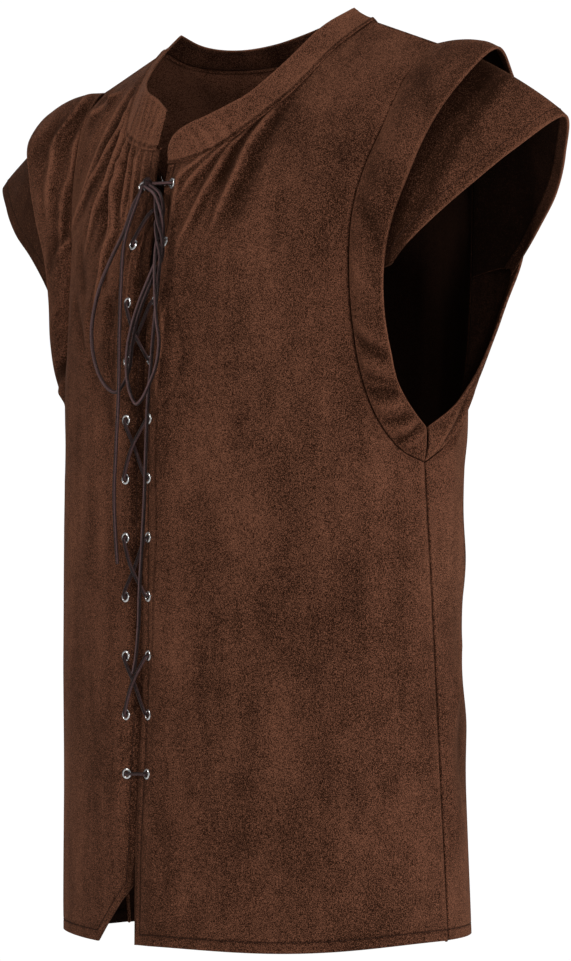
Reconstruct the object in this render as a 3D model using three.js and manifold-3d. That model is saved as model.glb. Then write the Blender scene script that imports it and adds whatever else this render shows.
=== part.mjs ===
// Lace-up waistcoat: two fronts, a back, a neckband and two tiers of cap at each armhole.
// Millimetres, +Z up. The fronts face -Y and the wearer's left is +X. Every height below is
// measured up from the hem, and the whole garment is then lowered so that the origin lies
// midway between the wearer's shoulders, which hold it up.
import * as THREE from 'three';
import { mergeVertices } from 'three/addons/utils/BufferGeometryUtils.js';
import Module from 'manifold-3d';

const wasm = await Module();
wasm.setup();

// ---- driving sizes ----
const HOLD_HEIGHT = 706;      // hem to the middle of the shoulder seams
const WALL = 1.6;             // suede with its facing
const SEAM_GAP = 0.35;        // between two sewn pieces
const CENTRE_Y = 5;           // the side seams' plane
const UNDERARM = 371;
const UNDERARM_DROP = 14;     // the middle of a panel's underarm row is this much lower
const CHEST = 560;            // above it a front or back closes in towards the shoulder
const YOKE_BEND = 0.42;       // share of the yoke's height over which it still rises straight
const EDGE_BOW = 1.2;         // a front edge bows out this far between chest and neck
const HEM_DIP = 6;            // the front hem hangs this far below the side hem
const HEM_SIDE = 3;
const HEM_BELLY_LEFT = 4;     // the left front hangs lower half way round to its side seam
const HEM_BELLY_RIGHT = -4;   // and the right front higher
const EDGE_ROLL_LEFT = 3.2;   // the lacing rolls the front edges in
const EDGE_ROLL_RIGHT = 2;
const EDGE_ROLL_FADE = 70;    // over this height below the neck the roll dies out
const CORNER_WIDTH = 48;      // the wearer's right front has its lower corner cut off
const CORNER_HEIGHT = 46;
const LACE_RADIUS = 1.5;

// Torso sections by height: half width, front depth and back depth, from the side seams' plane.
const HEIGHT = 0;
const HALF_WIDTH = 1;
const FRONT_DEPTH = 2;
const BACK_DEPTH = 3;
const SECTIONS = [
  [0, 200, 133, 127],
  [120, 199, 133, 117],
  [240, 198, 133, 110],
  [360, 197, 133, 115],
  [450, 197, 131, 126],
  [510, 198, 127, 130],
  [560, 199, 116, 131],
];

// Front edges by height, as distances across from the mid-plane: the wearer's left front, the
// right front, and the eyelets of both. An edge below zero reaches past the mid-plane.
const LEFT_EDGE = 1;
const RIGHT_EDGE = 2;
const EYELET_X = 3;
const OPENING = [
  [0, -6, 7.5, 12.5],
  [60, -5, 6.5, 12.5],
  [130, -0.5, 2, 12.5],
  [200, 4.5, -3.1, 12.5],
  [455, 5, -3.6, 12.8],
  [500, 5.2, -2.4, 15.5],
  [546, 9, 0, 19],
  [592, 8.6, 4, 18.5],
  [622, 9, 5, 18.5],
];
const EYELET_TOP = 592;
const EYELET_PITCH = 46.1;
const EYELET_ROWS = 11;

// The side seam's angle behind the sides' plane, at the hem and at the underarm.
const SIDE_SWEEP_HEM = 0.14;
const SIDE_SWEEP_UNDERARM = -0.045;

// Seam and edge curves of one half, as x away from the mid-plane, y and z. The right front's
// neck is pulled a little higher than the left's, and only its band end keeps a square corner.
const NECK_LEFT = [
  [9, -102, 609], [24, -101, 610], [45, -99, 613], [62, -93, 619.5],
  [78, -83.5, 631], [91, -70, 645], [101, -56, 659], [109, -43, 674],
  [119, -21, 698], [129, 5, 718],
];
const NECK_RIGHT = [
  [5, -100.5, 622], [22, -97, 624.5], [38, -92, 628.5], [53, -86.5, 632.5],
  [69, -79, 638], [83, -69, 646.5], [96, -56, 659], [107, -42, 674],
  [118.5, -20.5, 698], [129, 5, 718],
];
const NECK_BACK = [
  [129, 5, 718], [121, 24, 708], [108, 43, 704], [88, 61, 703.5], [60, 75, 705.5], [30, 82, 707.5], [0, 84, 708.5],
];
const BAND_LEFT = [
  [8.5, -102.5, 616], [12, -103, 624], [20, -102.6, 632], [36, -99.5, 639], [49, -96, 643],
  [62.5, -87.5, 650], [74, -76.5, 658.5], [83, -64, 671], [91.5, -49, 686.5], [101, -22, 713],
  [106, 5, 728.5],
];
const BAND_RIGHT = [
  [4.5, -91.5, 652], [18, -90, 662], [35, -85.5, 669], [48, -77.5, 675],
  [62, -66, 682], [74, -53, 690], [85, -37, 701], [97, -16, 715], [106, 5, 728.5],
];
const BAND_BACK = [
  [106, 5, 728.5], [99, 18, 721], [90, 30, 717.5], [74, 43, 716.5], [48, 55, 719.5], [24, 62, 725], [0, 65, 730.5],
];
const ARMHOLE_FRONT = [
  [196.8, -1, 371], [191.5, -20, 380], [184.5, -38, 403], [178, -49, 435], [173.5, -54, 472],
  [171.5, -56.5, 516], [174, -55.5, 560], [181, -50.5, 592], [191, -40, 625], [201, -22, 667], [207, 5, 692],
];
const ARMHOLE_BACK = [
  [196.8, -1, 371], [193, 23, 385], [187.5, 43, 408], [181, 56, 438], [177, 64, 474],
  [175.5, 68, 517], [178, 67, 560], [185, 61, 595], [194.5, 51, 630], [201.5, 32, 668], [207, 5, 692],
];
// Upper tier: its free edge, station by station with the armhole curves above.
const TIER_FRONT = [
  [198, 0, 398], [202.5, -18, 411], [206, -36, 430], [208, -46, 453], [207.5, -52.5, 482],
  [208, -54, 516], [215, -53, 550], [231, -50, 585], [248, -43.5, 621], [267, -29, 655], [272, 6, 683],
];
const TIER_BACK = [
  [198, 0, 398], [203, 25, 416], [205.5, 46, 441], [207.5, 61, 467], [211, 72, 496],
  [219, 81, 529], [229, 78, 563], [239, 69, 598], [250, 53, 633], [263, 30, 665], [272, 6, 683],
];
// Lower tier: its free edge, from the armhole station where it starts up to the shoulder.
const CAP_FRONT = [
  [211, -50, 521], [227, -46, 536], [254, -38.5, 557], [283, -31, 577], [314, -17, 601], [345, 6, 625],
];
const CAP_BACK = [
  [213, 74, 517], [227, 76, 533], [254, 68, 553], [284, 56, 574], [316, 35, 600], [345, 6, 625],
];
const CAP_START = 5;          // the armhole station at the lower tier's notches
const TIER_SWELL = 4;         // how far a tier's middle stands above the line from seam to edge
const TIER_SWELL_REACH = 40;  // a tier narrower than this swells less
const TIER_START = 0.02;      // share of a tier's width left free at its seam
const CAP_BELOW = 7;          // the lower tier passes this far under the upper tier's free edge
const CAP_TUCK = 1.2;         // and this far under the upper tier at the seam
const CAP_TUCK_SHARE = 0.05;

// Grid steps of each sewn piece.
const BODY_ROWS = 9;
const ARMHOLE_ROWS = 6;
const YOKE_ROWS = 7;
const FRONT_COLUMNS = 13;
const NECK_COLUMNS = 8;       // of a front's columns, those that end at the neck seam
const BACK_COLUMNS = 10;      // on each side of the centre back
const BACK_NECK_COLUMNS = 5;

// Large soft folds, as ridges from (x, z) to (x, z) with their half width and height.
const FOLDS_LEFT = [
  [44, 612, 14, 592, 6, 1.6],
  [70, 620, 16, 585, 8, 2.0],
  [92, 645, 40, 570, 10, 2.2],
  [168, 430, 120, 330, 18, 1.6],
  [190, 300, 168, 120, 20, 1.8],
];
const FOLDS_RIGHT = [
  [60, 618, 40, 560, 8, 2.0],
  [98, 655, 34, 540, 10, 2.6],
  [112, 678, 66, 520, 10, 2.4],
  [140, 690, 96, 560, 11, 2.6],
  [160, 470, 110, 380, 18, 1.6],
  [188, 280, 166, 110, 20, 1.8],
];
const FOLDS_BACK = [
  [176, 420, 120, 350, 16, 2.2],
  [186, 330, 110, 240, 20, 3.0],
  [188, 200, 120, 130, 22, 2.4],
  [-176, 420, -120, 350, 16, 2.2],
  [-186, 310, -116, 220, 20, 2.6],
  [-188, 190, -124, 130, 22, 2.4],
];

// ---- colours ----
const SUEDE = new THREE.MeshStandardMaterial({ color: 0x35231a, roughness: 0.95, metalness: 0 });
const METAL = new THREE.MeshStandardMaterial({ color: 0xb9bbbd, roughness: 0.3, metalness: 1 });
const LACE = new THREE.MeshStandardMaterial({ color: 0x2a1a1e, roughness: 0.6, metalness: 0 });

// ---- curves and tables ----

// A column of a table at a height, joined smoothly without overshoot.
function tableValue(table, column, height) {
  const last = table.length - 1;
  const inside = Math.min(Math.max(height, table[0][HEIGHT]), table[last][HEIGHT]);
  let row = 0;
  while (row < last - 1 && inside > table[row + 1][HEIGHT]) row += 1;
  const rise = (i) => (table[i + 1][column] - table[i][column]) / (table[i + 1][HEIGHT] - table[i][HEIGHT]);
  const slope = (i) => {
    if (i === 0) return rise(0);
    if (i === last) return rise(last - 1);
    const before = rise(i - 1);
    const after = rise(i);
    return before * after <= 0 ? 0 : (2 * before * after) / (before + after);
  };
  const span = table[row + 1][HEIGHT] - table[row][HEIGHT];
  const t = (inside - table[row][HEIGHT]) / span;
  const start = (1 + 2 * t) * (1 - t) ** 2 * table[row][column];
  const end = t * t * (3 - 2 * t) * table[row + 1][column];
  return start + end + span * (t * (1 - t) ** 2 * slope(row) - t * t * (1 - t) * slope(row + 1));
}

function curveThrough(points) {
  const places = points.map((point) => new THREE.Vector3(...point));
  return new THREE.CatmullRomCurve3(places, false, 'centripetal');
}

function mirrored(point) {
  return new THREE.Vector3(-point.x, point.y, point.z);
}

function smooth(t) {
  const inside = Math.min(Math.max(t, 0), 1);
  return inside * inside * (3 - 2 * inside);
}

// ---- the torso surface ----

// A point of the torso at an angle from the centre front, 180 degrees being the centre back.
function torso(angle, height) {
  const depthColumn = angle < Math.PI / 2 ? FRONT_DEPTH : BACK_DEPTH;
  const x = tableValue(SECTIONS, HALF_WIDTH, height) * Math.sin(angle);
  const y = CENTRE_Y - tableValue(SECTIONS, depthColumn, height) * Math.cos(angle);
  return new THREE.Vector3(x, y, height);
}

function torsoAngle(point) {
  const depthColumn = point.y < CENTRE_Y ? FRONT_DEPTH : BACK_DEPTH;
  const across = point.x / tableValue(SECTIONS, HALF_WIDTH, point.z);
  const along = (CENTRE_Y - point.y) / tableValue(SECTIONS, depthColumn, point.z);
  return Math.atan2(across, along);
}

function hemHeight(angle) {
  return HEM_SIDE - HEM_DIP * Math.cos(angle);
}

function frontEdgeAngle(side, height) {
  return Math.asin(tableValue(OPENING, side, height) / tableValue(SECTIONS, HALF_WIDTH, height));
}

function sideSeamAngle(height) {
  const share = height / UNDERARM;
  return Math.PI / 2 + THREE.MathUtils.lerp(SIDE_SWEEP_HEM, SIDE_SWEEP_UNDERARM, share);
}

// A half panel's grid: rows from hem to top, columns from its middle edge out to its side edge.
// middle(height) is the angle of the middle edge, hem(angle) the hem's height, armhole the side
// curve above the underarm, top(share) the top edge and middleTop(share, start) the middle edge
// above the chest.
function panelGrid({ middle, hem, armhole, top, middleTop, columns }) {
  const underarm = torso(sideSeamAngle(UNDERARM), UNDERARM);
  const armholeCurve = curveThrough([underarm.toArray(), ...armhole.slice(1)]);
  const chestStation = armhole.findIndex((point) => point[2] === CHEST) / (armhole.length - 1);
  const rows = [];

  const lowerPoint = (u, middleHeight, sidePoint, rise) => {
    const middleAngle = middle(middleHeight);
    const outerAngle = torsoAngle(sidePoint);
    const angle = THREE.MathUtils.lerp(middleAngle, outerAngle, u);
    const height = THREE.MathUtils.lerp(middleHeight, sidePoint.z, u) + hem(angle) * (1 - rise);
    const onTorso = torso(outerAngle, sidePoint.z);
    return torso(angle, height).addScaledVector(sidePoint.clone().sub(onTorso), u ** 3);
  };
  const underarmMiddle = UNDERARM - UNDERARM_DROP;
  for (let row = 0; row < BODY_ROWS; row += 1) {
    const rise = row / BODY_ROWS;
    const sidePoint = torso(sideSeamAngle(UNDERARM * rise), UNDERARM * rise);
    const points = [];
    for (let column = 0; column <= columns; column += 1) {
      points.push(lowerPoint(column / columns, underarmMiddle * rise, sidePoint, rise));
    }
    rows.push(points);
  }
  for (let row = 0; row <= ARMHOLE_ROWS; row += 1) {
    const share = row / ARMHOLE_ROWS;
    const sidePoint = armholeCurve.getPoint(share * chestStation);
    const points = [];
    for (let column = 0; column <= columns; column += 1) {
      const middleHeight = THREE.MathUtils.lerp(underarmMiddle, CHEST, share);
      points.push(lowerPoint(column / columns, middleHeight, sidePoint, 1));
    }
    rows.push(points);
  }
  const chestRow = rows[rows.length - 1];
  const rowBelow = rows[rows.length - 2];
  const bendPoint = (column) => {
    const start = chestRow[column];
    const end = top(column / columns);
    const upward = start.clone().sub(rowBelow[column]).normalize();
    return start.clone().addScaledVector(upward, YOKE_BEND * start.distanceTo(end));
  };
  const sideBend = bendPoint(columns);
  const middleBend = bendPoint(0);
  const bent = (start, bend, end, t) => {
    const point = start.clone().multiplyScalar((1 - t) ** 2);
    return point.addScaledVector(bend, 2 * t * (1 - t)).addScaledVector(end, t * t);
  };
  for (let row = 1; row <= YOKE_ROWS; row += 1) {
    const t = row / YOKE_ROWS;
    const sidePoint = armholeCurve.getPoint(chestStation + (1 - chestStation) * t);
    const sideShift = sidePoint.sub(bent(chestRow[columns], sideBend, top(1), t));
    const middleShift = middleTop(t, chestRow[0]).sub(bent(chestRow[0], middleBend, top(0), t));
    const points = [];
    for (let column = 0; column <= columns; column += 1) {
      const u = column / columns;
      const point = bent(chestRow[column], bendPoint(column), top(u), t);
      points.push(point.addScaledVector(sideShift, u ** 2).addScaledVector(middleShift, (1 - u) ** 2));
    }
    rows.push(points);
  }
  return rows;
}

const shoulderTip = new THREE.Vector3(...ARMHOLE_FRONT[ARMHOLE_FRONT.length - 1]);
const shoulderNeck = new THREE.Vector3(...NECK_BACK[0]);

// The top edge of a half panel: its neck seam, then the shoulder seam.
function topEdge(neckCurve, neckShare) {
  return (share) => {
    if (share <= neckShare) return neckCurve(share / neckShare);
    return shoulderNeck.clone().lerp(shoulderTip, (share - neckShare) / (1 - neckShare));
  };
}

// A front as if it were on the wearer's left.
function frontGrid({ side, neckTable, cutCorner, belly, edgeRoll }) {
  const neck = curveThrough(neckTable);
  const neckStart = neck.getPoint(0);
  const cornerAngle = CORNER_WIDTH / SECTIONS[0][HALF_WIDTH];
  const edgeAngle = frontEdgeAngle(side, 0);
  const grid = panelGrid({
    middle: (height) => frontEdgeAngle(side, height),
    hem: (angle) => {
      const cut = Math.max(0, 1 - (angle - edgeAngle) / cornerAngle);
      const hang = hemHeight(angle) - belly * Math.sin(2 * angle) ** 2;
      return hang + (cutCorner ? CORNER_HEIGHT * cut : 0);
    },
    armhole: ARMHOLE_FRONT,
    top: topEdge((share) => neck.getPoint(share), NECK_COLUMNS / FRONT_COLUMNS),
    middleTop: (share, start) => {
      const point = start.clone().lerp(neckStart, share);
      point.x = tableValue(OPENING, side, point.z);
      point.y -= EDGE_BOW * Math.sin(Math.PI * share);
      return point;
    },
    columns: FRONT_COLUMNS,
  });
  const normals = gridNormals(grid);
  grid.forEach((points, row) => {
    const roll = edgeRoll * smooth((neckStart.z - points[0].z) / EDGE_ROLL_FADE);
    points[0].addScaledVector(normals[row][0], -roll);
  });
  return grid;
}

function backGrid() {
  const neck = curveThrough(NECK_BACK);
  const topMiddle = neck.getPoint(1);
  const half = panelGrid({
    middle: () => Math.PI,
    hem: hemHeight,
    armhole: ARMHOLE_BACK,
    top: topEdge((share) => neck.getPoint(1 - share), BACK_NECK_COLUMNS / BACK_COLUMNS),
    middleTop: (t, start) => {
      const bend = new THREE.Vector3(0, start.y, THREE.MathUtils.lerp(start.z, topMiddle.z, 0.5));
      const point = start.clone().multiplyScalar((1 - t) ** 2);
      return point.addScaledVector(bend, 2 * t * (1 - t)).addScaledVector(topMiddle, t * t);
    },
    columns: BACK_COLUMNS,
  });
  return half.map((row) => [...row.slice(1).reverse(), ...row.map(mirrored)]);
}

// ---- cloth from a grid of points ----

function gridNormals(grid) {
  const rows = grid.length;
  const columns = grid[0].length;
  return grid.map((points, row) => points.map((_, column) => {
    const left = grid[row][Math.max(column - 1, 0)];
    const right = grid[row][Math.min(column + 1, columns - 1)];
    const below = grid[Math.max(row - 1, 0)][column];
    const above = grid[Math.min(row + 1, rows - 1)][column];
    const across = right.clone().sub(left);
    return across.cross(above.clone().sub(below)).normalize();
  }));
}

// Height of the folds at a point, none of it within a few millimetres of the panel's edges.
function foldHeight(folds, point) {
  let height = 0;
  for (const [startX, startZ, endX, endZ, halfWidth, ridge] of folds) {
    const start = new THREE.Vector2(startX, startZ);
    const along = new THREE.Vector2(endX, endZ).sub(start);
    const place = new THREE.Vector2(point.x, point.z).sub(start);
    const share = place.dot(along) / along.lengthSq();
    const inside = Math.min(Math.max(share, 0), 1);
    const distance = place.addScaledVector(along, -inside).length();
    const fade = smooth(1.15 - Math.abs(2 * inside - 1));
    height += ridge * fade * Math.exp(-((distance / halfWidth) ** 2));
  }
  return height;
}

function foldedGrid(grid, folds) {
  const normals = gridNormals(grid);
  const lastRow = grid.length - 1;
  const lastColumn = grid[0].length - 1;
  return grid.map((points, row) => points.map((point, column) => {
    const isEdge = row === 0 || row === lastRow || column === 0 || column === lastColumn;
    const height = isEdge ? 0 : foldHeight(folds, point);
    return point.clone().addScaledVector(normals[row][column], height);
  }));
}

// Two panels that meet along a seam share their facing there, so that their walls meet mitred.
function shareSeamNormals(first, second) {
  const meets = (a, b) => a.distanceToSquared(b) < 0.01;
  first.grid.forEach((points, row) => points.forEach((point, column) => {
    second.grid.forEach((others, otherRow) => others.forEach((other, otherColumn) => {
      if (!meets(point, other)) return;
      const shared = first.normals[row][column].clone().add(second.normals[otherRow][otherColumn]);
      first.normals[row][column] = shared.normalize();
      second.normals[otherRow][otherColumn] = shared;
    }));
  }));
}

// Moves a panel's outer columns and top row in by half a seam gap.
function seamAllowance(grid, sides) {
  const lastRow = grid.length - 1;
  const lastColumn = grid[0].length - 1;
  const pull = (point, towards) => {
    const inward = towards.clone().sub(point).setLength(SEAM_GAP);
    point.add(inward);
  };
  const copy = grid.map((points) => points.map((point) => point.clone()));
  for (let row = 0; row <= lastRow; row += 1) {
    if (sides.first) pull(copy[row][0], grid[row][1]);
    if (sides.last) pull(copy[row][lastColumn], grid[row][lastColumn - 1]);
  }
  if (sides.top) {
    for (let column = 0; column <= lastColumn; column += 1) {
      pull(copy[lastRow][column], grid[lastRow - 1][column]);
    }
  }
  return copy;
}

// A closed wall: the grid is its outer face, and its inner face lies one wall thickness below.
function clothGeometry(grid, normals = gridNormals(grid)) {
  const rows = grid.length;
  const columns = grid[0].length;
  const inner = grid.map((points, row) => points.map((point, column) => (
    point.clone().addScaledVector(normals[row][column], -WALL)
  )));
  const positions = [];
  for (const face of [grid, inner]) {
    for (const points of face) {
      for (const point of points) positions.push(point.x, point.y, point.z);
    }
  }
  const outerAt = (row, column) => row * columns + column;
  const innerAt = (row, column) => rows * columns + row * columns + column;
  const index = [];
  const quad = (a, b, c, d) => index.push(a, b, c, a, c, d);
  for (let row = 0; row < rows - 1; row += 1) {
    for (let column = 0; column < columns - 1; column += 1) {
      const nextRow = row + 1;
      const nextColumn = column + 1;
      quad(outerAt(row, column), outerAt(row, nextColumn), outerAt(nextRow, nextColumn), outerAt(nextRow, column));
      quad(innerAt(row, column), innerAt(nextRow, column), innerAt(nextRow, nextColumn), innerAt(row, nextColumn));
    }
  }
  for (let row = 0; row < rows - 1; row += 1) {
    const last = columns - 1;
    quad(outerAt(row, 0), outerAt(row + 1, 0), innerAt(row + 1, 0), innerAt(row, 0));
    quad(outerAt(row, last), innerAt(row, last), innerAt(row + 1, last), outerAt(row + 1, last));
  }
  for (let column = 0; column < columns - 1; column += 1) {
    const last = rows - 1;
    quad(outerAt(0, column), innerAt(0, column), innerAt(0, column + 1), outerAt(0, column + 1));
    quad(outerAt(last, column), outerAt(last, column + 1), innerAt(last, column + 1), innerAt(last, column));
  }
  const geometry = new THREE.BufferGeometry();
  geometry.setAttribute('position', new THREE.Float32BufferAttribute(positions, 3));
  geometry.setIndex(index);
  return geometry;
}

// The other half of the garment: mirrored points, with the columns turned round to face out.
function mirroredGrid(grid) {
  return grid.map((row) => row.map(mirrored).reverse());
}

// ---- joining and cutting ----

function toManifold(geometry) {
  const bare = geometry.clone();
  bare.deleteAttribute('normal');
  bare.deleteAttribute('uv');
  const merged = mergeVertices(bare, 1e-4);
  return new wasm.Manifold(new wasm.Mesh({
    numProp: 3,
    vertProperties: new Float32Array(merged.attributes.position.array),
    triVerts: new Uint32Array(merged.index.array),
  }));
}

function toGeometry(solid) {
  const mesh = solid.getMesh();
  const geometry = new THREE.BufferGeometry();
  geometry.setAttribute('position', new THREE.BufferAttribute(mesh.vertProperties, 3));
  geometry.setIndex(new THREE.BufferAttribute(mesh.triVerts, 1));
  return geometry;
}

// ---- eyelets ----
const EYELET_HOLE = 2.6;
const EYELET_BARREL = 3.1;
const EYELET_RIM = 4.4;
const EYELET_LIFT = 0.35;     // from the cloth up to the rim
const EYELET_TOP_FACE = 1;    // rim's top above the cloth
const EYELET_SIDES = 10;
const HOLE_RADIUS = 3.45;

function eyeletGeometry() {
  const back = -WALL - 0.6;
  const profile = [
    [EYELET_HOLE, back],
    [EYELET_BARREL, back],
    [EYELET_BARREL, EYELET_LIFT],
    [EYELET_RIM, EYELET_LIFT],
    [EYELET_RIM - 0.7, EYELET_TOP_FACE],
    [EYELET_HOLE, EYELET_TOP_FACE - 0.1],
    [EYELET_HOLE, back],
  ];
  const points = profile.map(([radius, height]) => new THREE.Vector2(radius, height));
  return new THREE.LatheGeometry(points, EYELET_SIDES);
}

// Where a line along Y through (x, z) meets a front, and which way the cloth faces there.
function placeOnGrid(grid, x, z) {
  const ray = new THREE.Ray(new THREE.Vector3(x, -1000, z), new THREE.Vector3(0, 1, 0));
  const hit = new THREE.Vector3();
  for (let row = 0; row < grid.length - 1; row += 1) {
    for (let column = 0; column < grid[0].length - 1; column += 1) {
      const a = grid[row][column];
      const b = grid[row][column + 1];
      const c = grid[row + 1][column + 1];
      const d = grid[row + 1][column];
      if (ray.intersectTriangle(a, b, c, false, hit) || ray.intersectTriangle(a, c, d, false, hit)) {
        const normal = b.clone().sub(a).cross(d.clone().sub(a)).normalize();
        return { point: hit.clone(), normal };
      }
    }
  }
  throw new Error(`no cloth at ${x}, ${z}`);
}

function eyeletPlaces(grid, sign) {
  const places = [];
  for (let row = 0; row < EYELET_ROWS; row += 1) {
    const height = EYELET_TOP - row * EYELET_PITCH;
    places.push(placeOnGrid(grid, sign * tableValue(OPENING, EYELET_X, height), height));
  }
  return places;
}

const UP = new THREE.Vector3(0, 1, 0);

function turnedTo(place) {
  return new THREE.Quaternion().setFromUnitVectors(UP, place.normal);
}

function punched(geometry, places) {
  let solid = toManifold(geometry);
  for (const place of places) {
    const cutter = new THREE.CylinderGeometry(HOLE_RADIUS, HOLE_RADIUS, 12, EYELET_SIDES);
    cutter.applyQuaternion(turnedTo(place)).translate(place.point.x, place.point.y, place.point.z);
    solid = solid.subtract(toManifold(cutter));
  }
  return toGeometry(solid);
}

// ---- tiers ----

// Seam and free edge of an armhole tier, station by station from the front underarm round.
function ringStations(frontTable, backTable, from) {
  const front = frontTable.slice(from).map((point) => new THREE.Vector3(...point));
  const back = backTable.slice(from).map((point) => new THREE.Vector3(...point));
  return [...back, ...front.reverse().slice(1)];
}

function spaced(points, count) {
  const curve = new THREE.CatmullRomCurve3(points, false, 'centripetal');
  return Array.from({ length: count + 1 }, (_, step) => curve.getPoint(step / count));
}

// Rows run from seam to edge. Columns run from the back round over the shoulder to the front.
function tierGrid(seam, edge, rows, swell, startShare) {
  const across = seam.map((point, column) => {
    const before = seam[Math.max(column - 1, 0)];
    const after = seam[Math.min(column + 1, seam.length - 1)];
    return edge[column].clone().sub(point).cross(after.clone().sub(before)).normalize().negate();
  });
  const grid = [];
  for (let row = 0; row <= rows; row += 1) {
    const t = THREE.MathUtils.lerp(startShare, 1, row / rows);
    grid.push(seam.map((point, column) => {
      const lift = swell * Math.sin(Math.PI * t) * Math.min(1, point.distanceTo(edge[column]) / TIER_SWELL_REACH);
      return point.clone().lerp(edge[column], t).addScaledVector(across[column], lift);
    }));
  }
  return grid;
}

const TIER_COLUMNS = 34;
const TIER_ROWS = 3;
const CAP_COLUMNS = 24;
const CAP_ROWS = 6;

function bandGrid() {
  const seam = spaced(ringStations(ARMHOLE_FRONT, ARMHOLE_BACK, 0), TIER_COLUMNS);
  const edge = spaced(ringStations(TIER_FRONT, TIER_BACK, 0), TIER_COLUMNS);
  return tierGrid(seam, edge, TIER_ROWS, TIER_SWELL, TIER_START);
}

// The lower tier starts under the upper one's seam, runs below its free edge and droops beyond.
function capGrid() {
  const seam = spaced(ringStations(ARMHOLE_FRONT, ARMHOLE_BACK, CAP_START), CAP_COLUMNS);
  const upper = spaced(ringStations(TIER_FRONT, TIER_BACK, CAP_START), CAP_COLUMNS);
  const edge = spaced(ringStations(CAP_FRONT, CAP_BACK, 0), CAP_COLUMNS);
  const normals = gridNormals(tierGrid(seam, upper, 1, 0, 0));
  const grid = [];
  for (let row = 0; row <= CAP_ROWS; row += 1) {
    const t = row / CAP_ROWS;
    grid.push(seam.map((point, column) => {
      const below = normals[0][column].clone().negate();
      const start = point.clone().lerp(upper[column], CAP_TUCK_SHARE);
      start.addScaledVector(below, WALL + CAP_TUCK);
      const bend = upper[column].clone().addScaledVector(below, CAP_BELOW);
      const place = start.multiplyScalar((1 - t) ** 2);
      return place.addScaledVector(bend, 2 * t * (1 - t)).addScaledVector(edge[column], t * t);
    }));
  }
  return grid;
}

// ---- neckband ----
const BAND_FRONT_STEPS = 12;  // from a front edge to the shoulder
const BAND_BACK_STEPS = 7;    // from there to the centre back
const BAND_ROWS = 2;
const BAND_START = 0.03;      // share of the band's width left free at its seam

function neckbandGrid() {
  const part = (table, steps) => {
    const curve = curveThrough(table);
    return Array.from({ length: steps + 1 }, (_, step) => curve.getPointAt(step / steps));
  };
  const half = (front, back) => [...part(front, BAND_FRONT_STEPS), ...part(back, BAND_BACK_STEPS).slice(1)];
  const whole = (left, right) => [...right.map(mirrored), ...left.slice(0, -1).reverse()];
  const seam = whole(half(NECK_LEFT, NECK_BACK), half(NECK_RIGHT, NECK_BACK));
  const edge = whole(half(BAND_LEFT, BAND_BACK), half(BAND_RIGHT, BAND_BACK));
  const grid = [];
  for (let row = 0; row <= BAND_ROWS; row += 1) {
    const t = THREE.MathUtils.lerp(BAND_START, 1, row / BAND_ROWS);
    grid.push(seam.map((point, column) => point.clone().lerp(edge[column], t)));
  }
  return grid;
}

// ---- lace ----

// A round tube through the given points, its rings square to the path.
function tubeGeometry(points, radius, sides) {
  const positions = [];
  const index = [];
  const tangentAt = (step) => {
    const before = points[Math.max(step - 1, 0)];
    const after = points[Math.min(step + 1, points.length - 1)];
    return after.clone().sub(before).normalize();
  };
  let side = new THREE.Vector3(0, 0, 1).cross(tangentAt(0));
  if (side.length() < 0.1) side = new THREE.Vector3(1, 0, 0);
  points.forEach((point, step) => {
    const tangent = tangentAt(step);
    side.addScaledVector(tangent, -side.dot(tangent)).normalize();
    const other = tangent.clone().cross(side);
    for (let corner = 0; corner < sides; corner += 1) {
      const angle = (2 * Math.PI * corner) / sides;
      const place = point.clone().addScaledVector(side, radius * Math.cos(angle));
      place.addScaledVector(other, radius * Math.sin(angle));
      positions.push(place.x, place.y, place.z);
    }
  });
  for (let step = 0; step < points.length - 1; step += 1) {
    for (let corner = 0; corner < sides; corner += 1) {
      const next = (corner + 1) % sides;
      const here = step * sides;
      const there = here + sides;
      index.push(here + corner, here + next, there + next, here + corner, there + next, there + corner);
    }
  }
  const last = (points.length - 1) * sides;
  for (let corner = 1; corner < sides - 1; corner += 1) {
    index.push(0, corner + 1, corner, last, last + corner, last + corner + 1);
  }
  const geometry = new THREE.BufferGeometry();
  geometry.setAttribute('position', new THREE.Float32BufferAttribute(positions, 3));
  geometry.setIndex(index);
  return geometry;
}

const OUTSIDE = 3.2;          // lace centre above the cloth's outer face
const INSIDE = -WALL - 3;
const LEVEL_SHARE = 0.9;      // of those heights, just before the lace passes through the gap
const CROSS_OVER = 2.6;       // extra height of the strand that crosses on top
const CROSS_UNDER = -1;
const GAP_SHARE = 0.4;        // where a strand passes between the fronts, on its way across
const GAP_RUN = 0.1;          // and the share of that way before and after it
const GAP_HEIGHT = -0.8;
const LACING_SIDES = 6;
const EYELET_APPROACH = 4.2;  // the lace is level this far from an eyelet's middle
const EYELET_INSIDE = 0.9;    // and turns down this far from it
const EYELET_TURN = 0.72;     // share of the lace's height at that turn

function lineBetween(a, b, share, height) {
  const point = a.point.clone().lerp(b.point, share);
  return point.addScaledVector(a.normal.clone().lerp(b.normal, share).normalize(), height);
}

// The lace turns from one face of the cloth to the other through an eyelet.
function throughEyelet(place, from, to, fromHeight, toHeight) {
  const towards = (other, distance, height) => {
    const step = other.point.clone().sub(place.point);
    step.addScaledVector(place.normal, -step.dot(place.normal)).setLength(distance);
    return place.point.clone().add(step).addScaledVector(place.normal, height);
  };
  return [
    towards(from, EYELET_APPROACH, fromHeight),
    towards(from, EYELET_INSIDE, fromHeight * EYELET_TURN),
    place.point.clone().addScaledVector(place.normal, -WALL / 2),
    towards(to, EYELET_INSIDE, toHeight * EYELET_TURN),
    towards(to, EYELET_APPROACH, toHeight),
  ];
}

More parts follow.
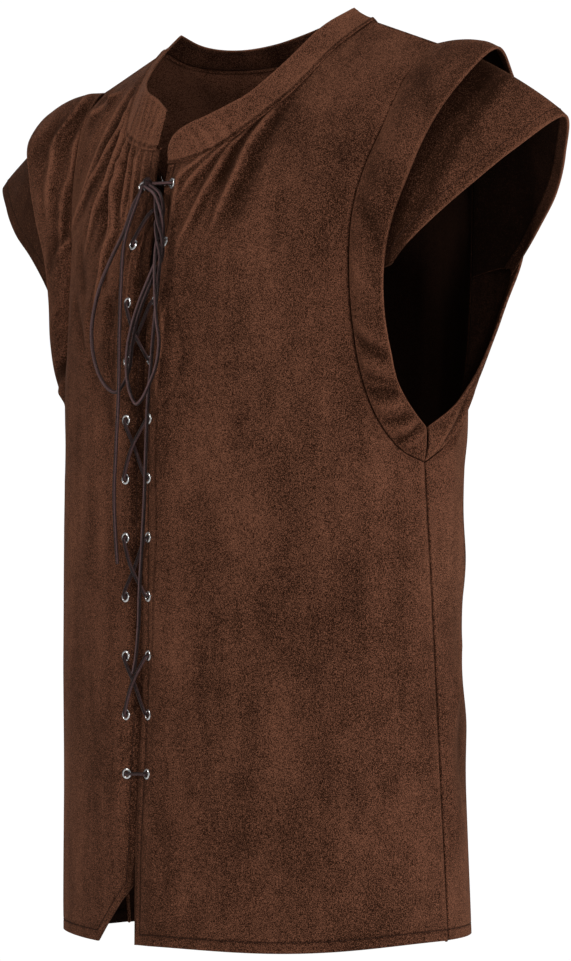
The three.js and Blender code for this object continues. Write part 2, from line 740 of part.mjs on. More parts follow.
// Down from the wearer's left top eyelet, across the bottom and up to the right top eyelet.
function lacingVisits(left, right) {
  const visits = [];
  const isLeft = (row) => Math.floor(row / 2) % 2 === 0;
  for (let row = 1; row <= EYELET_ROWS; row += 1) {
    const place = (isLeft(row) ? left : right)[row - 1];
    visits.push({ place, goesIn: row === 1 || row % 2 === 0, isOver: true });
  }
  for (let row = EYELET_ROWS; row >= 1; row -= 1) {
    const place = (isLeft(row) ? right : left)[row - 1];
    visits.push({ place, goesIn: row > 1 && row % 2 === 1, isOver: false });
  }
  return visits;
}

function lacingPoints(left, right, knotRight, knotLeft) {
  const visits = lacingVisits(left, right);
  const points = [knotRight.point];
  visits.forEach(({ place, goesIn, isOver }, step) => {
    const from = step === 0 ? knotRight : visits[step - 1].place;
    const next = visits[step + 1];
    const to = next ? next.place : knotLeft;
    const [fromHeight, toHeight] = goesIn ? [OUTSIDE, INSIDE] : [INSIDE, OUTSIDE];
    points.push(...throughEyelet(place, from, to, fromHeight, toHeight));
    if (!next) return;
    const staysOutside = !goesIn && next.goesIn;
    const changesFace = goesIn === next.goesIn;
    const isBottomBar = staysOutside && isOver !== next.isOver;
    if (changesFace) {
      const nextHeight = next.goesIn ? OUTSIDE : INSIDE;
      points.push(lineBetween(place, to, GAP_SHARE - GAP_RUN, toHeight * LEVEL_SHARE));
      points.push(lineBetween(place, to, GAP_SHARE, GAP_HEIGHT));
      points.push(lineBetween(place, to, GAP_SHARE + GAP_RUN, nextHeight * LEVEL_SHARE));
    } else if (staysOutside && !isBottomBar) {
      points.push(lineBetween(place, to, 0.5, OUTSIDE + (isOver ? CROSS_OVER : CROSS_UNDER)));
    }
  });
  points.push(knotLeft.point);
  return points;
}

// The tied knot and what hangs from it. Where a lace leaves the knot is given as a direction
// from the knot's middle. The routes are lists of x, y, z chosen by hand.
const KNOT_PLACE = new THREE.Vector3(-4.8, -112.5, 592.4);
const KNOT_RADII = new THREE.Vector3(4.9, 3.9, 4.2);
const KNOT_GAP = 1.27;        // the laces start this share of a radius out from the middle
const CORD_SIDES = 8;
const CORD_STEP = 3;          // diameters from one ring to the next
// Below the knot four strands hang twisted together: the middle of that bundle.
const BUNDLE_MIDDLE = [
  [12.7, -116, 583], [17.6, -118, 570.5], [21.2, -121, 558], [25.8, -124.5, 545.5], [29, -128, 533], [28.8, -131.5, 520.5],
];
const BUNDLE_RADIUS = 3;
const BUNDLE_TURN = -1.1;      // radians from one row to the next

function bundled(startAngle) {
  return BUNDLE_MIDDLE.map(([x, y, height], row) => {
    const angle = startAngle + row * BUNDLE_TURN;
    return [x + BUNDLE_RADIUS * Math.cos(angle), y - BUNDLE_RADIUS * Math.sin(angle), height];
  });
}

const ROUTES = {
  lace_loop_right: {
    leaves: [-0.75, -0.25, -0.75],
    route: [
      [-15.5, -117, 578], [-20.5, -123, 556], [-31, -130, 531], [-37, -135, 511], [-42, -137.6, 487], [-43, -137.6, 472],
      [-40, -137.6, 457], [-33, -137.6, 443], [-23, -137.6, 433], [-12, -137.6, 429], [-3, -137.6, 435],
      [5, -137.6, 448], [8.5, -137.6, 467], [16, -137, 489],
      ...bundled(Math.PI).reverse(),
    ],
    returns: [0.62, 0.05, -0.8],
  },
  lace_loop_left: {
    leaves: [0.95, -0.35, -0.15],
    route: [
      ...bundled(0),
      [42.5, -141.2, 483], [45.8, -141.2, 466],
      [42.5, -141.2, 448], [33.5, -141.2, 433], [25, -141.2, 422.5], [17.7, -141.2, 418.5], [10.8, -141.2, 426],
      [5.8, -141.2, 442], [6.5, -141.2, 462], [11, -141.2, 477], [20.5, -141.2, 496],
      ...bundled(Math.PI / 2).reverse(),
    ],
    returns: [0.45, -0.85, -0.4],
  },
  lace_end_right: {
    leaves: [-0.35, -0.75, -0.55],
    route: [
      [-12, -129, 549], [-5.5, -138, 512], [-3.5, -141.2, 472], [-4.5, -141.2, 430], [-8, -141.2, 380],
      [-10, -141.2, 350], [-8.4, -141.2, 318], [-6.1, -141.2, 295.5],
    ],
  },
  lace_end_left: {
    leaves: [0.45, 0.75, -0.4],
    route: [
      ...bundled(-Math.PI / 2),
      [30, -134, 475], [26.5, -134, 446],
      [23, -134, 422], [22, -134.5, 395], [21.5, -135.5, 362], [22.2, -137, 340], [21.2, -138, 313],
      [17.8, -138, 275], [16.6, -138, 247], [12.7, -138, 220], [9.7, -138, 209.7],
    ],
  },
};
const LACING_LEAVES = [0.95, 0.3, 0.05];
const LACING_RETURNS = [-0.95, 0.3, -0.1];

function knotSurface(direction) {
  const outward = new THREE.Vector3(...direction).normalize().multiplyScalar(KNOT_GAP);
  return outward.multiply(KNOT_RADII).add(KNOT_PLACE);
}

function cordRoute({ leaves, route, returns }) {
  const ends = returns ? [knotSurface(returns).toArray()] : [];
  return [knotSurface(leaves).toArray(), ...route, ...ends];
}

function cordGeometry(route) {
  const path = curveThrough(cordRoute(route));
  const steps = Math.round(path.getLength() / (CORD_STEP * 2 * LACE_RADIUS));
  const section = new THREE.Shape();
  section.absarc(0, 0, LACE_RADIUS, 0, 2 * Math.PI);
  return new THREE.ExtrudeGeometry(section, { steps, extrudePath: path, curveSegments: CORD_SIDES / 2 });
}

function knotGeometry() {
  const ball = new THREE.SphereGeometry(1, 12, 8);
  return ball.scale(...KNOT_RADII.toArray()).translate(...KNOT_PLACE.toArray());
}

// ---- assembly ----
const waistcoat = new THREE.Group();

function add(name, geometry, material) {
  const bare = geometry.clone();
  bare.deleteAttribute('normal');
  bare.deleteAttribute('uv');
  const merged = mergeVertices(bare, 1e-3);
  merged.computeVertexNormals();
  const mesh = new THREE.Mesh(merged, material);
  mesh.name = name;
  mesh.position.z = -HOLD_HEIGHT;
  waistcoat.add(mesh);
}

function panel(grid) {
  return { grid, normals: gridNormals(grid) };
}

const LEFT_FRONT = {
  side: LEFT_EDGE, neckTable: NECK_LEFT, cutCorner: false, belly: HEM_BELLY_LEFT, edgeRoll: EDGE_ROLL_LEFT,
};
const RIGHT_FRONT = {
  side: RIGHT_EDGE, neckTable: NECK_RIGHT, cutCorner: true, belly: HEM_BELLY_RIGHT, edgeRoll: EDGE_ROLL_RIGHT,
};
const leftPanel = panel(foldedGrid(frontGrid(LEFT_FRONT), FOLDS_LEFT));
const rightPanel = panel(mirroredGrid(foldedGrid(frontGrid(RIGHT_FRONT), FOLDS_RIGHT)));
const backPanel = panel(foldedGrid(backGrid(), FOLDS_BACK));
shareSeamNormals(leftPanel, backPanel);
shareSeamNormals(rightPanel, backPanel);
const leftGrid = seamAllowance(leftPanel.grid, { last: true, top: true });
const rightGrid = seamAllowance(rightPanel.grid, { first: true, top: true });
const leftPlaces = eyeletPlaces(leftGrid, 1);
const rightPlaces = eyeletPlaces(rightGrid, -1);
const wholeBack = seamAllowance(backPanel.grid, { first: true, last: true, top: true });

add('front_left', punched(clothGeometry(leftGrid, leftPanel.normals), leftPlaces), SUEDE);
add('front_right', punched(clothGeometry(rightGrid, rightPanel.normals), rightPlaces), SUEDE);
add('back', clothGeometry(wholeBack, backPanel.normals), SUEDE);
add('neckband', clothGeometry(neckbandGrid()), SUEDE);
add('armhole_band_left', clothGeometry(bandGrid()), SUEDE);
add('armhole_band_right', clothGeometry(mirroredGrid(bandGrid())), SUEDE);
add('cap_left', clothGeometry(capGrid()), SUEDE);
add('cap_right', clothGeometry(mirroredGrid(capGrid())), SUEDE);

const sides = [['left', leftPlaces], ['right', rightPlaces]];
for (const [side, places] of sides) {
  places.forEach((place, row) => {
    const ring = eyeletGeometry().applyQuaternion(turnedTo(place));
    ring.translate(place.point.x, place.point.y, place.point.z);
    add(`eyelet_${side}_${String(row + 1).padStart(2, '0')}`, ring, METAL);
  });
}

const lacing = lacingPoints(
  leftPlaces, rightPlaces, { point: knotSurface(LACING_LEAVES) }, { point: knotSurface(LACING_RETURNS) },
);
add('lacing', tubeGeometry(lacing, LACE_RADIUS, LACING_SIDES), LACE);
add('lace_knot', knotGeometry(), LACE);
for (const [name, route] of Object.entries(ROUTES)) add(name, cordGeometry(route), LACE);

export default waistcoat;
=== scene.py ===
# Lace-up waistcoat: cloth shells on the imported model's own surfaces, with gathers, rolled
# edges, turned hems, stitching, pressed eyelets and a leather lace. Sizes are millimetres
# measured up from the hem, as in the part's source, until each mesh is made in metres.
import math

import bpy
import numpy as np
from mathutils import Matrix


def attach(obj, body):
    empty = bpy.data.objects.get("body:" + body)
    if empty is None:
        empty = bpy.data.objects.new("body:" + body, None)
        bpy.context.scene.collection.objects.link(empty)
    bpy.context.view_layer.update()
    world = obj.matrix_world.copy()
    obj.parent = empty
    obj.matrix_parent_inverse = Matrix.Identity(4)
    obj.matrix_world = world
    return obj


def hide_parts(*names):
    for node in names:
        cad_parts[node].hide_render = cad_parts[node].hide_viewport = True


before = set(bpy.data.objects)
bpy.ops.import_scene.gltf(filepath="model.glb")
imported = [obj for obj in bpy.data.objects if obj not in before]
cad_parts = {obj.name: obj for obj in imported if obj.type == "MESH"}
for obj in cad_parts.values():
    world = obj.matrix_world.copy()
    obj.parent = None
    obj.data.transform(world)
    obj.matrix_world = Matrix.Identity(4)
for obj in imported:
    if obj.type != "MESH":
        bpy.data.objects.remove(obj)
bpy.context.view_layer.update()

# ---- driving sizes, the same as in the part's source ----
HOLD_HEIGHT = 706
WALL = 1.6
CENTRE_Y = 5
UNDERARM = 371
UNDERARM_RISE = 14
CHEST = 560
HEM_DIP = 6
HEM_SIDE = 3
HEM_BELLY = {"left": 4, "right": -4}
EDGE_ROLL = {"left": 3.2, "right": 2}
EDGE_ROLL_FADE = 70
EDGE_ROLL_WIDTH = 23
TUCK = {"left": 0, "right": 1}
TUCK_WIDTH = 12
TUCK_REACH = 2.2
TUCK_DEPTH = 3.4
TUCK_FROM, TUCK_FROM_FADE = 40, 50
TUCK_TO, TUCK_TO_FADE = 538, 40
CORNER_WIDTH = 48
CORNER_HEIGHT = 46
LACE_SEEN_RADIUS = 1.43
CAD_ARMHOLE_ROWS = 6
YOKE_BEND = 0.42
EDGE_BOW = 1.2

HEIGHT, HALF_WIDTH, FRONT_DEPTH, BACK_DEPTH = range(4)
SECTIONS = [
    [0, 200, 133, 127],
    [120, 199, 133, 117],
    [240, 198, 133, 110],
    [360, 197, 133, 115],
    [450, 197, 131, 126],
    [510, 198, 127, 130],
    [560, 199, 116, 131],
]

LEFT_EDGE, RIGHT_EDGE, EYELET_X = 1, 2, 3
OPENING = [
    [0, -6, 7.5, 12.5],
    [60, -5, 6.5, 12.5],
    [130, -0.5, 2, 12.5],
    [200, 4.5, -3.1, 12.5],
    [455, 5, -3.6, 12.8],
    [500, 5.2, -2.4, 15.5],
    [546, 9, 0, 19],
    [592, 8.6, 4, 18.5],
    [622, 9, 5, 18.5],
]
EYELET_TOP = 592
EYELET_PITCH = 46.1
EYELET_ROWS = 11
SIDE_SWEEP_HEM = 0.14
SIDE_SWEEP_UNDERARM = -0.045

NECK_LEFT = [
    [9, -102, 609], [24, -101, 610], [45, -99, 613], [62, -93, 619.5],
    [78, -83.5, 631], [91, -70, 645], [101, -56, 659], [109, -43, 674],
    [119, -21, 698], [129, 5, 718],
]
NECK_RIGHT = [
    [5, -100.5, 622], [22, -97, 624.5], [38, -92, 628.5], [53, -86.5, 632.5],
    [69, -79, 638], [83, -69, 646.5], [96, -56, 659], [107, -42, 674],
    [118.5, -20.5, 698], [129, 5, 718],
]
NECK_BACK = [
    [129, 5, 718], [121, 24, 708], [108, 43, 704], [88, 61, 703.5], [60, 75, 705.5],
    [30, 82, 707.5], [0, 84, 708.5],
]
BAND_LEFT = [
    [8.5, -102.5, 616], [12, -103, 624], [20, -102.6, 632], [36, -99.5, 639],
    [49, -96, 643], [62.5, -87.5, 650], [74, -76.5, 658.5], [83, -64, 671],
    [91.5, -49, 686.5], [101, -22, 713], [106, 5, 728.5],
]
BAND_RIGHT = [
    [4.5, -91.5, 652], [18, -90, 662], [35, -85.5, 669], [48, -77.5, 675],
    [62, -66, 682], [74, -53, 690], [85, -37, 701], [97, -16, 715], [106, 5, 728.5],
]
BAND_BACK = [
    [106, 5, 728.5], [99, 18, 721], [90, 30, 717.5], [74, 43, 716.5], [48, 55, 719.5],
    [24, 62, 725], [0, 65, 730.5],
]
ARMHOLE_FRONT = [
    [196.8, -1, 371], [191.5, -20, 380], [184.5, -38, 403], [178, -49, 435],
    [173.5, -54, 472], [171.5, -56.5, 516], [174, -55.5, 560], [181, -50.5, 592],
    [191, -40, 625], [201, -22, 667], [207, 5, 692],
]
ARMHOLE_BACK = [
    [196.8, -1, 371], [193, 23, 385], [187.5, 43, 408], [181, 56, 438], [177, 64, 474],
    [175.5, 68, 517], [178, 67, 560], [185, 61, 595], [194.5, 51, 630],
    [201.5, 32, 668], [207, 5, 692],
]
TIER_FRONT = [
    [198, 0, 398], [202.5, -18, 411], [206, -36, 430], [208, -46, 453],
    [207.5, -52.5, 482], [208, -54, 516], [215, -53, 550], [231, -50, 585],
    [248, -43.5, 621], [267, -29, 655], [272, 6, 683],
]
TIER_BACK = [
    [198, 0, 398], [203, 25, 416], [205.5, 46, 441], [207.5, 61, 467], [211, 72, 496],
    [219, 81, 529], [229, 78, 563], [239, 69, 598], [250, 53, 633], [263, 30, 665],
    [272, 6, 683],
]
CAP_FRONT = [
    [211, -50, 521], [227, -46, 536], [254, -38.5, 557], [283, -31, 577],
    [314, -17, 601], [345, 6, 625],
]
CAP_BACK = [
    [213, 74, 517], [227, 76, 533], [254, 68, 553], [284, 56, 574], [316, 35, 600],
    [345, 6, 625],
]
CAP_START = 5
TIER_SWELL = 4
CAP_BELOW = 7
FRONT_NECK_SHARE = 8 / 13
BACK_NECK_SHARE = 5 / 10

# ---- folds: a path of (x, z) points, half width, height ----
MAIN_FOLDS_LEFT = [
    [[(44, 612), (14, 592)], 6, 1.6],
    [[(70, 620), (16, 585)], 8, 2.0],
    [[(92, 645), (40, 570)], 10, 2.2],
    [[(168, 430), (120, 330)], 18, 1.6],
    [[(190, 300), (168, 120)], 20, 1.8],
]
MAIN_FOLDS_RIGHT = [
    [[(60, 618), (40, 560)], 8, 2.0],
    [[(98, 655), (34, 540)], 10, 2.6],
    [[(112, 678), (66, 520)], 10, 2.4],
    [[(140, 690), (96, 560)], 11, 2.6],
    [[(160, 470), (110, 380)], 18, 1.6],
    [[(188, 280), (166, 110)], 20, 1.8],
]
MAIN_FOLDS_BACK = [
    [[(176, 420), (120, 350)], 16, 2.2],
    [[(186, 330), (110, 240)], 20, 3.0],
    [[(188, 200), (120, 130)], 22, 2.4],
    [[(-176, 420), (-120, 350)], 16, 2.2],
    [[(-186, 310), (-116, 220)], 20, 2.6],
    [[(-188, 190), (-124, 130)], 22, 2.4],
]
# Gathers and creases: path, half width, height (a trough if it is below zero).
CREASES_LEFT = [
    [[(112, 668), (100, 636), (94, 600), (84, 560), (72, 530)], 8.0, -3.2],
    [[(59, 620), (45, 606), (30, 596), (20, 590)], 3.3, 2.3],
    [[(50, 615), (38, 603), (24, 597)], 2.6, 1.7],
    [[(73, 626), (55, 606), (36, 588), (24, 574)], 3.5, 2.9],
    [[(80, 633), (68, 617), (58, 602), (46, 586)], 4.1, -2.3],
    [[(84, 637), (70, 614), (62, 596), (50, 573), (39, 552), (30, 530)], 3.7, 3.6],
    [[(92, 646), (78, 622), (70, 600), (60, 575)], 6.1, -3.7],
    [[(97, 654), (86, 622), (82, 606), (78, 588), (70, 564), (62, 545)], 4.6, 3.8],
    [[(30, 604), (24, 580), (21, 550), (20, 520)], 4.4, 1.9],
    [[(24, 500), (30, 470), (24, 440), (30, 400)], 5.5, 1.5],
    [[(196, 190), (172, 160), (140, 140)], 10.0, 1.6],
    [[(196, 116), (180, 67), (160, 36)], 10.0, 1.4],
    [[(198, 150), (186, 108), (172, 84)], 8.0, -1.0],
    [[(199, 76), (184, 36), (176, 20)], 8.0, 1.2],
    [[(150, 560), (146, 520), (150, 480)], 16.0, 0.9],
    [[(120, 500), (112, 420), (118, 340)], 20.0, 1.1],
    [[(86, 480), (82, 400), (88, 320), (84, 240)], 22.0, 1.2],
    [[(150, 330), (144, 240), (150, 130)], 20.0, 1.0],
    [[(60, 300), (64, 200), (58, 90)], 20.0, 1.1],
    [[(110, 250), (104, 160), (110, 60)], 20.0, 1.0],
]
CREASES_RIGHT = [
    [[(146, 684), (158, 676), (176, 669), (193, 662)], 5.0, 2.4],
    [
        [(114, 674), (102, 658), (98, 644), (99, 630), (106, 612), (123, 593), (143, 579), (176, 563)],
        4.6, 5.0,
    ],
    [[(72, 634), (61, 620), (62, 606), (53, 584), (50, 560), (58, 541), (62, 520), (70, 480)], 3.8, 4.0],
    [[(46, 626), (38, 613), (36, 595), (35, 580), (37, 556)], 3.0, 3.4],
    [[(128, 560), (114, 540), (98, 520), (80, 498)], 9.0, -2.6],
    [[(60, 530), (50, 514), (42, 500), (34, 476)], 5.5, -2.2],
    [[(124, 520), (100, 488), (78, 462), (50, 434), (30, 418)], 8.0, -2.4],
    [[(112, 530), (88, 496), (64, 468), (40, 446)], 8.0, 1.3],
    [[(22, 479), (25, 424), (19, 369)], 5.0, 1.2],
    [[(9, 560), (12, 520), (9, 470), (11, 430)], 1.8, 1.2],
    [[(17, 562), (18, 520), (15, 478)], 1.6, 1.0],
    [[(26, 560), (24, 520), (27, 470), (24, 420)], 2.2, 1.1],
    [[(36, 626), (32, 600), (30, 578), (28, 552)], 3.2, 2.6],
    [[(24, 622), (22, 600), (20, 575)], 2.7, 1.8],
    [[(56, 632), (48, 606), (42, 580), (40, 556)], 3.8, 3.1],
    [[(48, 630), (40, 606), (36, 580), (33, 556)], 4.1, -2.9],
    [[(70, 638), (62, 616), (57, 598), (55, 567), (60, 535), (64, 520)], 4.2, 4.2],
    [[(64, 634), (53, 606), (48, 575), (50, 545)], 4.8, -3.6],
    [[(98, 660), (84, 636), (78, 612), (84, 586), (98, 560), (112, 535)], 5.2, 5.2],
    [[(86, 648), (72, 620), (66, 590), (72, 560), (84, 530)], 6.0, -4.0],
    [[(104, 664), (92, 636), (88, 606), (100, 576), (118, 548)], 6.0, -3.6],
    [[(130, 682), (124, 660), (124, 636), (134, 610), (152, 585)], 5.4, 3.4],
    [[(126, 690), (114, 660), (112, 630), (122, 600)], 6.0, -3.2],
    [[(160, 690), (152, 672), (154, 650), (166, 625), (172, 600)], 6.3, 3.5],
    [[(184, 694), (178, 672), (182, 650)], 6.3, 2.4],
    [[(70, 520), (80, 480), (72, 440)], 8.0, 1.9],
    [[(40, 530), (50, 490), (44, 450), (52, 410)], 7.0, 1.9],
    [[(120, 520), (128, 470), (120, 420)], 12.0, 1.4],
    [[(60, 400), (70, 300), (62, 180)], 18.0, 1.2],
    [[(120, 380), (112, 280), (120, 160)], 20.0, 1.2],
    [[(36, 300), (40, 220), (34, 130)], 12.0, 0.8],
    [[(170, 360), (160, 260), (168, 140)], 18.0, 1.2],
]
CREASES_BACK = [
    [[(182, 412), (188, 400), (191, 384), (195, 350), (195, 330)], 6.0, 3.4],
    [[(176, 231), (189, 196), (195, 168), (196, 110), (193, 92), (194, 68), (182, 23)], 7.0, 4.1],
    [[(186, 250), (182, 215), (188, 150), (180, 90)], 8.0, -2.7],
    [[(-182, 412), (-188, 396), (-193, 366), (-195, 330)], 6.0, 3.1],
    [[(-176, 240), (-190, 190), (-195, 130), (-190, 70), (-182, 30)], 7.0, 3.4],
    [[(150, 300), (120, 230), (96, 180)], 10.0, 2.0],
    [[(-152, 280), (-118, 220), (-92, 176)], 10.0, 1.9],
    [[(60, 640), (40, 560), (30, 470)], 14.0, 1.9],
    [[(-64, 636), (-46, 560), (-38, 476)], 14.0, 1.8],
    [[(20, 420), (34, 330), (26, 230), (36, 120)], 16.0, 2.3],
    [[(-24, 400), (-40, 300), (-30, 200), (-38, 100)], 16.0, 2.2],
    [[(0, 320), (-6, 240), (2, 160), (-4, 60)], 14.0, 1.5],
    [[(84, 330), (96, 240), (84, 140), (92, 60)], 18.0, 2.0],
    [[(-86, 340), (-98, 250), (-86, 150), (-94, 60)], 18.0, 1.9],
    [[(150, 600), (120, 540), (104, 480)], 12.0, 1.7],
    [[(-150, 600), (-122, 546), (-108, 486)], 12.0, 1.7],
]
# Lines that run on from the right front over its upper tier.
CREASES_TIER_RIGHT = [
    [
        [(224, 694), (217, 681), (220, 664), (223, 650), (217, 632), (211, 608), (208, 592), (198, 570)],
        4.0, 2.4,
    ],
    [
        [(176, 670), (193, 662), (197, 646), (191, 621), (192, 603), (189, 584), (187, 563), (183, 532)],
        4.4, 2.6,
    ],
    [[(210, 690), (205, 668), (206, 640), (202, 610), (198, 590)], 5.0, -2.2],
    [[(236, 680), (232, 650), (226, 620), (217, 594), (208, 570)], 5.0, -1.6],
    [[(143, 579), (176, 563), (190, 552), (200, 544)], 4.0, 2.2],
]

# Painted shade near the lacing, cast by the laces and the overlapping edge: path, half width, how dark.
LACING_SHADE_LEFT = [
    [[(7, 600), (6, 560), (5, 430)], 7, 0.55],
    [[(5, 430), (4, 200), (-5, 8)], 3, 0.8],
    [[(14, 300), (10, 130), (3, 20)], 2.2, 0.35],
    [[(24, 600), (22, 300), (16, 30)], 22, 0.16],
]
LACING_SHADE_RIGHT = [
    [[(6, 600), (2, 560), (0, 430)], 12, 0.9],
    [[(26, 590), (30, 520), (26, 440)], 7, 0.5],
    [[(0, 430), (0, 200), (6, 30)], 8, 1.0],
    [[(44, 500), (46, 450), (34, 410)], 7, 0.45],
]

# ---- finishes of the edges and seams ----
EDGE_TOPSTITCH = 8.5
STITCH_SIZES = {"Pitch": 3.1, "Length": 2.3, "Radius": 0.27}
STITCH_PROUD = 0.12
HEM_TURN = 11
TURN_FADE = 1.2
HEM_TURN_THICKNESS = 0.7
SEAM_ROLL = 1.15
# Painted shade in a seam's dip, and a painted highlight on the cloth beside it.
SEAM_SHADE = 1.1
SEAM_HIGHLIGHT, SEAM_HIGHLIGHT_AT, SEAM_HIGHLIGHT_WIDTH = 0.2, 2.8, 1.3
GROOVE_WIDTH = 0.75
BODY_RUN, BODY_STEP = 360, 4.4
ARMHOLE_RUN, ARMHOLE_STEP = 200, 2.8
YOKE_RUN, YOKE_STEP = 130, 1.6
PANEL_RUN, FRONT_STEP, BACK_STEP = 290, 2.2, 3.2
# Painted light on folds: how wide a crest's painted highlight is, and how pale or dark the cloth is
# painted for each millimetre.
CREST_SHARE = 0.36
CREST_LIMIT = 6
CREST_SHADE = 0.8
FLANK_SHADE = 0.17
VALLEY_SHADE = 0.26
SLACK_SCALE = 34
SLACK_SEED = 5
# Inner faces painted towards near black: painted shade inside the garment over a darker reverse side.
INSIDE_SHADE = 0.93
INSIDE_SHADE_TOP, INSIDE_SHADE_FADE = 600, 70


def smooth(t):
    inside = np.clip(t, 0, 1)
    return inside * inside * (3 - 2 * inside)


def unit(vectors):
    return vectors / np.maximum(np.linalg.norm(vectors, axis=-1, keepdims=True), 1e-12)


def table_value(table, column, height):
    """A column of a table at a height, joined smoothly without overshoot."""
    rows = np.asarray(table, float)
    x, y = rows[:, HEIGHT], rows[:, column]
    inside = np.clip(height, x[0], x[-1])
    rise = np.diff(y) / np.diff(x)
    total = rise[:-1] + rise[1:]
    product = rise[:-1] * rise[1:]
    harmonic = np.where(product > 0, 2 * product / np.where(product > 0, total, 1), 0)
    slope = np.concatenate([rise[:1], harmonic, rise[-1:]])
    row = np.clip(np.searchsorted(x, inside, side="left") - 1, 0, len(x) - 2)
    span = x[row + 1] - x[row]
    t = (inside - x[row]) / span
    start = (1 + 2 * t) * (1 - t) ** 2 * y[row]
    end = t * t * (3 - 2 * t) * y[row + 1]
    turn = t * (1 - t) ** 2 * slope[row] - t * t * (1 - t) * slope[row + 1]
    return start + end + span * turn


def curve_through(points):
    """A centripetal curve through the points, as a function of the share along them."""
    p = np.asarray(points, float)
    p = np.vstack([2 * p[0] - p[1], p, 2 * p[-1] - p[-2]])
    gap = np.sum(np.diff(p, axis=0) ** 2, axis=1) ** 0.25

    def at(share):
        place = np.clip(np.asarray(share, float), 0, 1) * (len(p) - 3)
        i = np.minimum(np.floor(place).astype(int), len(p) - 4)
        w = (place - i)[..., None]
        p0, p1, p2, p3 = p[i], p[i + 1], p[i + 2], p[i + 3]
        d0, d1, d2 = gap[i][..., None], gap[i + 1][..., None], gap[i + 2][..., None]
        leave = ((p1 - p0) / d0 - (p2 - p0) / (d0 + d1) + (p2 - p1) / d1) * d1
        arrive = ((p2 - p1) / d1 - (p3 - p1) / (d1 + d2) + (p3 - p2) / d2) * d1
        square = -3 * p1 + 3 * p2 - 2 * leave - arrive
        cube = 2 * p1 - 2 * p2 + leave + arrive
        return ((cube * w + square) * w + leave) * w + p1

    return at


def even_shares(curve, count, samples=800):
    """Shares of a curve whose points lie at even steps of its length."""
    share = np.linspace(0, 1, samples + 1)
    steps = np.linalg.norm(np.diff(curve(share), axis=0), axis=1)
    travelled = np.concatenate([[0], np.cumsum(steps)])
    return np.interp(np.linspace(0, travelled[-1], count + 1), travelled, share)


def curve_length(points):
    return float(np.linalg.norm(np.diff(points, axis=0), axis=1).sum())


# ---- the torso surface ----


def torso(angle, height):
    """The body's surface at an angle from the middle of the front, and a height."""
    angle, height = np.broadcast_arrays(np.asarray(angle, float), np.asarray(height, float))
    front = table_value(SECTIONS, FRONT_DEPTH, height)
    back = table_value(SECTIONS, BACK_DEPTH, height)
    depth = np.where(angle < math.pi / 2, front, back)
    x = table_value(SECTIONS, HALF_WIDTH, height) * np.sin(angle)
    return np.stack([x, CENTRE_Y - depth * np.cos(angle), height], axis=-1)


def torso_angle(point):
    column = FRONT_DEPTH if point[1] < CENTRE_Y else BACK_DEPTH
    across = point[0] / table_value(SECTIONS, HALF_WIDTH, point[2])
    along = (CENTRE_Y - point[1]) / table_value(SECTIONS, column, point[2])
    return math.atan2(across, along)


def hem_height(angle):
    return HEM_SIDE - HEM_DIP * np.cos(angle)


def front_edge_angle(side, height):
    """Where a front's laced edge lies on the body at a height."""
    edge = table_value(OPENING, side, height)
    return np.arcsin(edge / table_value(SECTIONS, HALF_WIDTH, height))


def side_seam_angle(height):
    share = height / UNDERARM
    return math.pi / 2 + SIDE_SWEEP_HEM + (SIDE_SWEEP_UNDERARM - SIDE_SWEEP_HEM) * share


def bent(start, bend, end, t):
    """A place on the curve from start to end that leans towards the bend."""
    return start * (1 - t) ** 2 + bend * 2 * t * (1 - t) + end * t * t


def panel_grid(middle, hem, armhole, top, middle_top, shares, rows):
    """A half panel's points: rows from hem to top, shares from its middle edge to its side."""
    body_rows, armhole_rows, yoke_rows = rows
    underarm = torso(side_seam_angle(UNDERARM), UNDERARM)
    armhole_curve = curve_through([underarm, *armhole[1:]])
    chest = [point[2] for point in armhole].index(CHEST) / (len(armhole) - 1)
    underarm_middle = UNDERARM - UNDERARM_RISE

    def lower_row(middle_height, side_point, rise):
        outer = torso_angle(side_point)
        inner = float(middle(middle_height))
        angle = inner + (outer - inner) * shares
        height = middle_height + (side_point[2] - middle_height) * shares
        height = height + hem(angle) * (1 - rise)
        offset = side_point - torso(outer, side_point[2])
        return torso(angle, height) + offset * shares[:, None] ** 3

    def armhole_row(share):
        height = underarm_middle + (CHEST - underarm_middle) * share
        return lower_row(height, armhole_curve(share * chest), 1)

    grid = []
    for rise in body_rows:
        side = torso(side_seam_angle(UNDERARM * rise), UNDERARM * rise)
        grid.append(lower_row(underarm_middle * rise, side, rise))
    for share in armhole_rows:
        grid.append(armhole_row(share))
    chest_row = armhole_row(1)
    row_below = armhole_row((CAD_ARMHOLE_ROWS - 1) / CAD_ARMHOLE_ROWS)
    end_row = top(shares)
    reach = YOKE_BEND * np.linalg.norm(chest_row - end_row, axis=1, keepdims=True)
    bend_row = chest_row + unit(chest_row - row_below) * reach
    for t in yoke_rows:
        points = bent(chest_row, bend_row, end_row, t)
        side_shift = armhole_curve(chest + (1 - chest) * t) - points[-1]
        middle_shift = middle_top(t, chest_row[0]) - points[0]
        points = points + side_shift * shares[:, None] ** 2
        grid.append(points + middle_shift * (1 - shares[:, None]) ** 2)
    return np.array(grid)


def top_edge(neck, neck_share):
    shoulder_neck = np.array(NECK_BACK[0], float)
    shoulder_tip = np.array(ARMHOLE_FRONT[-1], float)

    def at(share):
        on_neck = neck(np.minimum(share / neck_share, 1))
        along = np.clip((share - neck_share) / (1 - neck_share), 0, 1)[:, None]
        on_shoulder = shoulder_neck + (shoulder_tip - shoulder_neck) * along
        return np.where((share <= neck_share)[:, None], on_neck, on_shoulder)

    return at


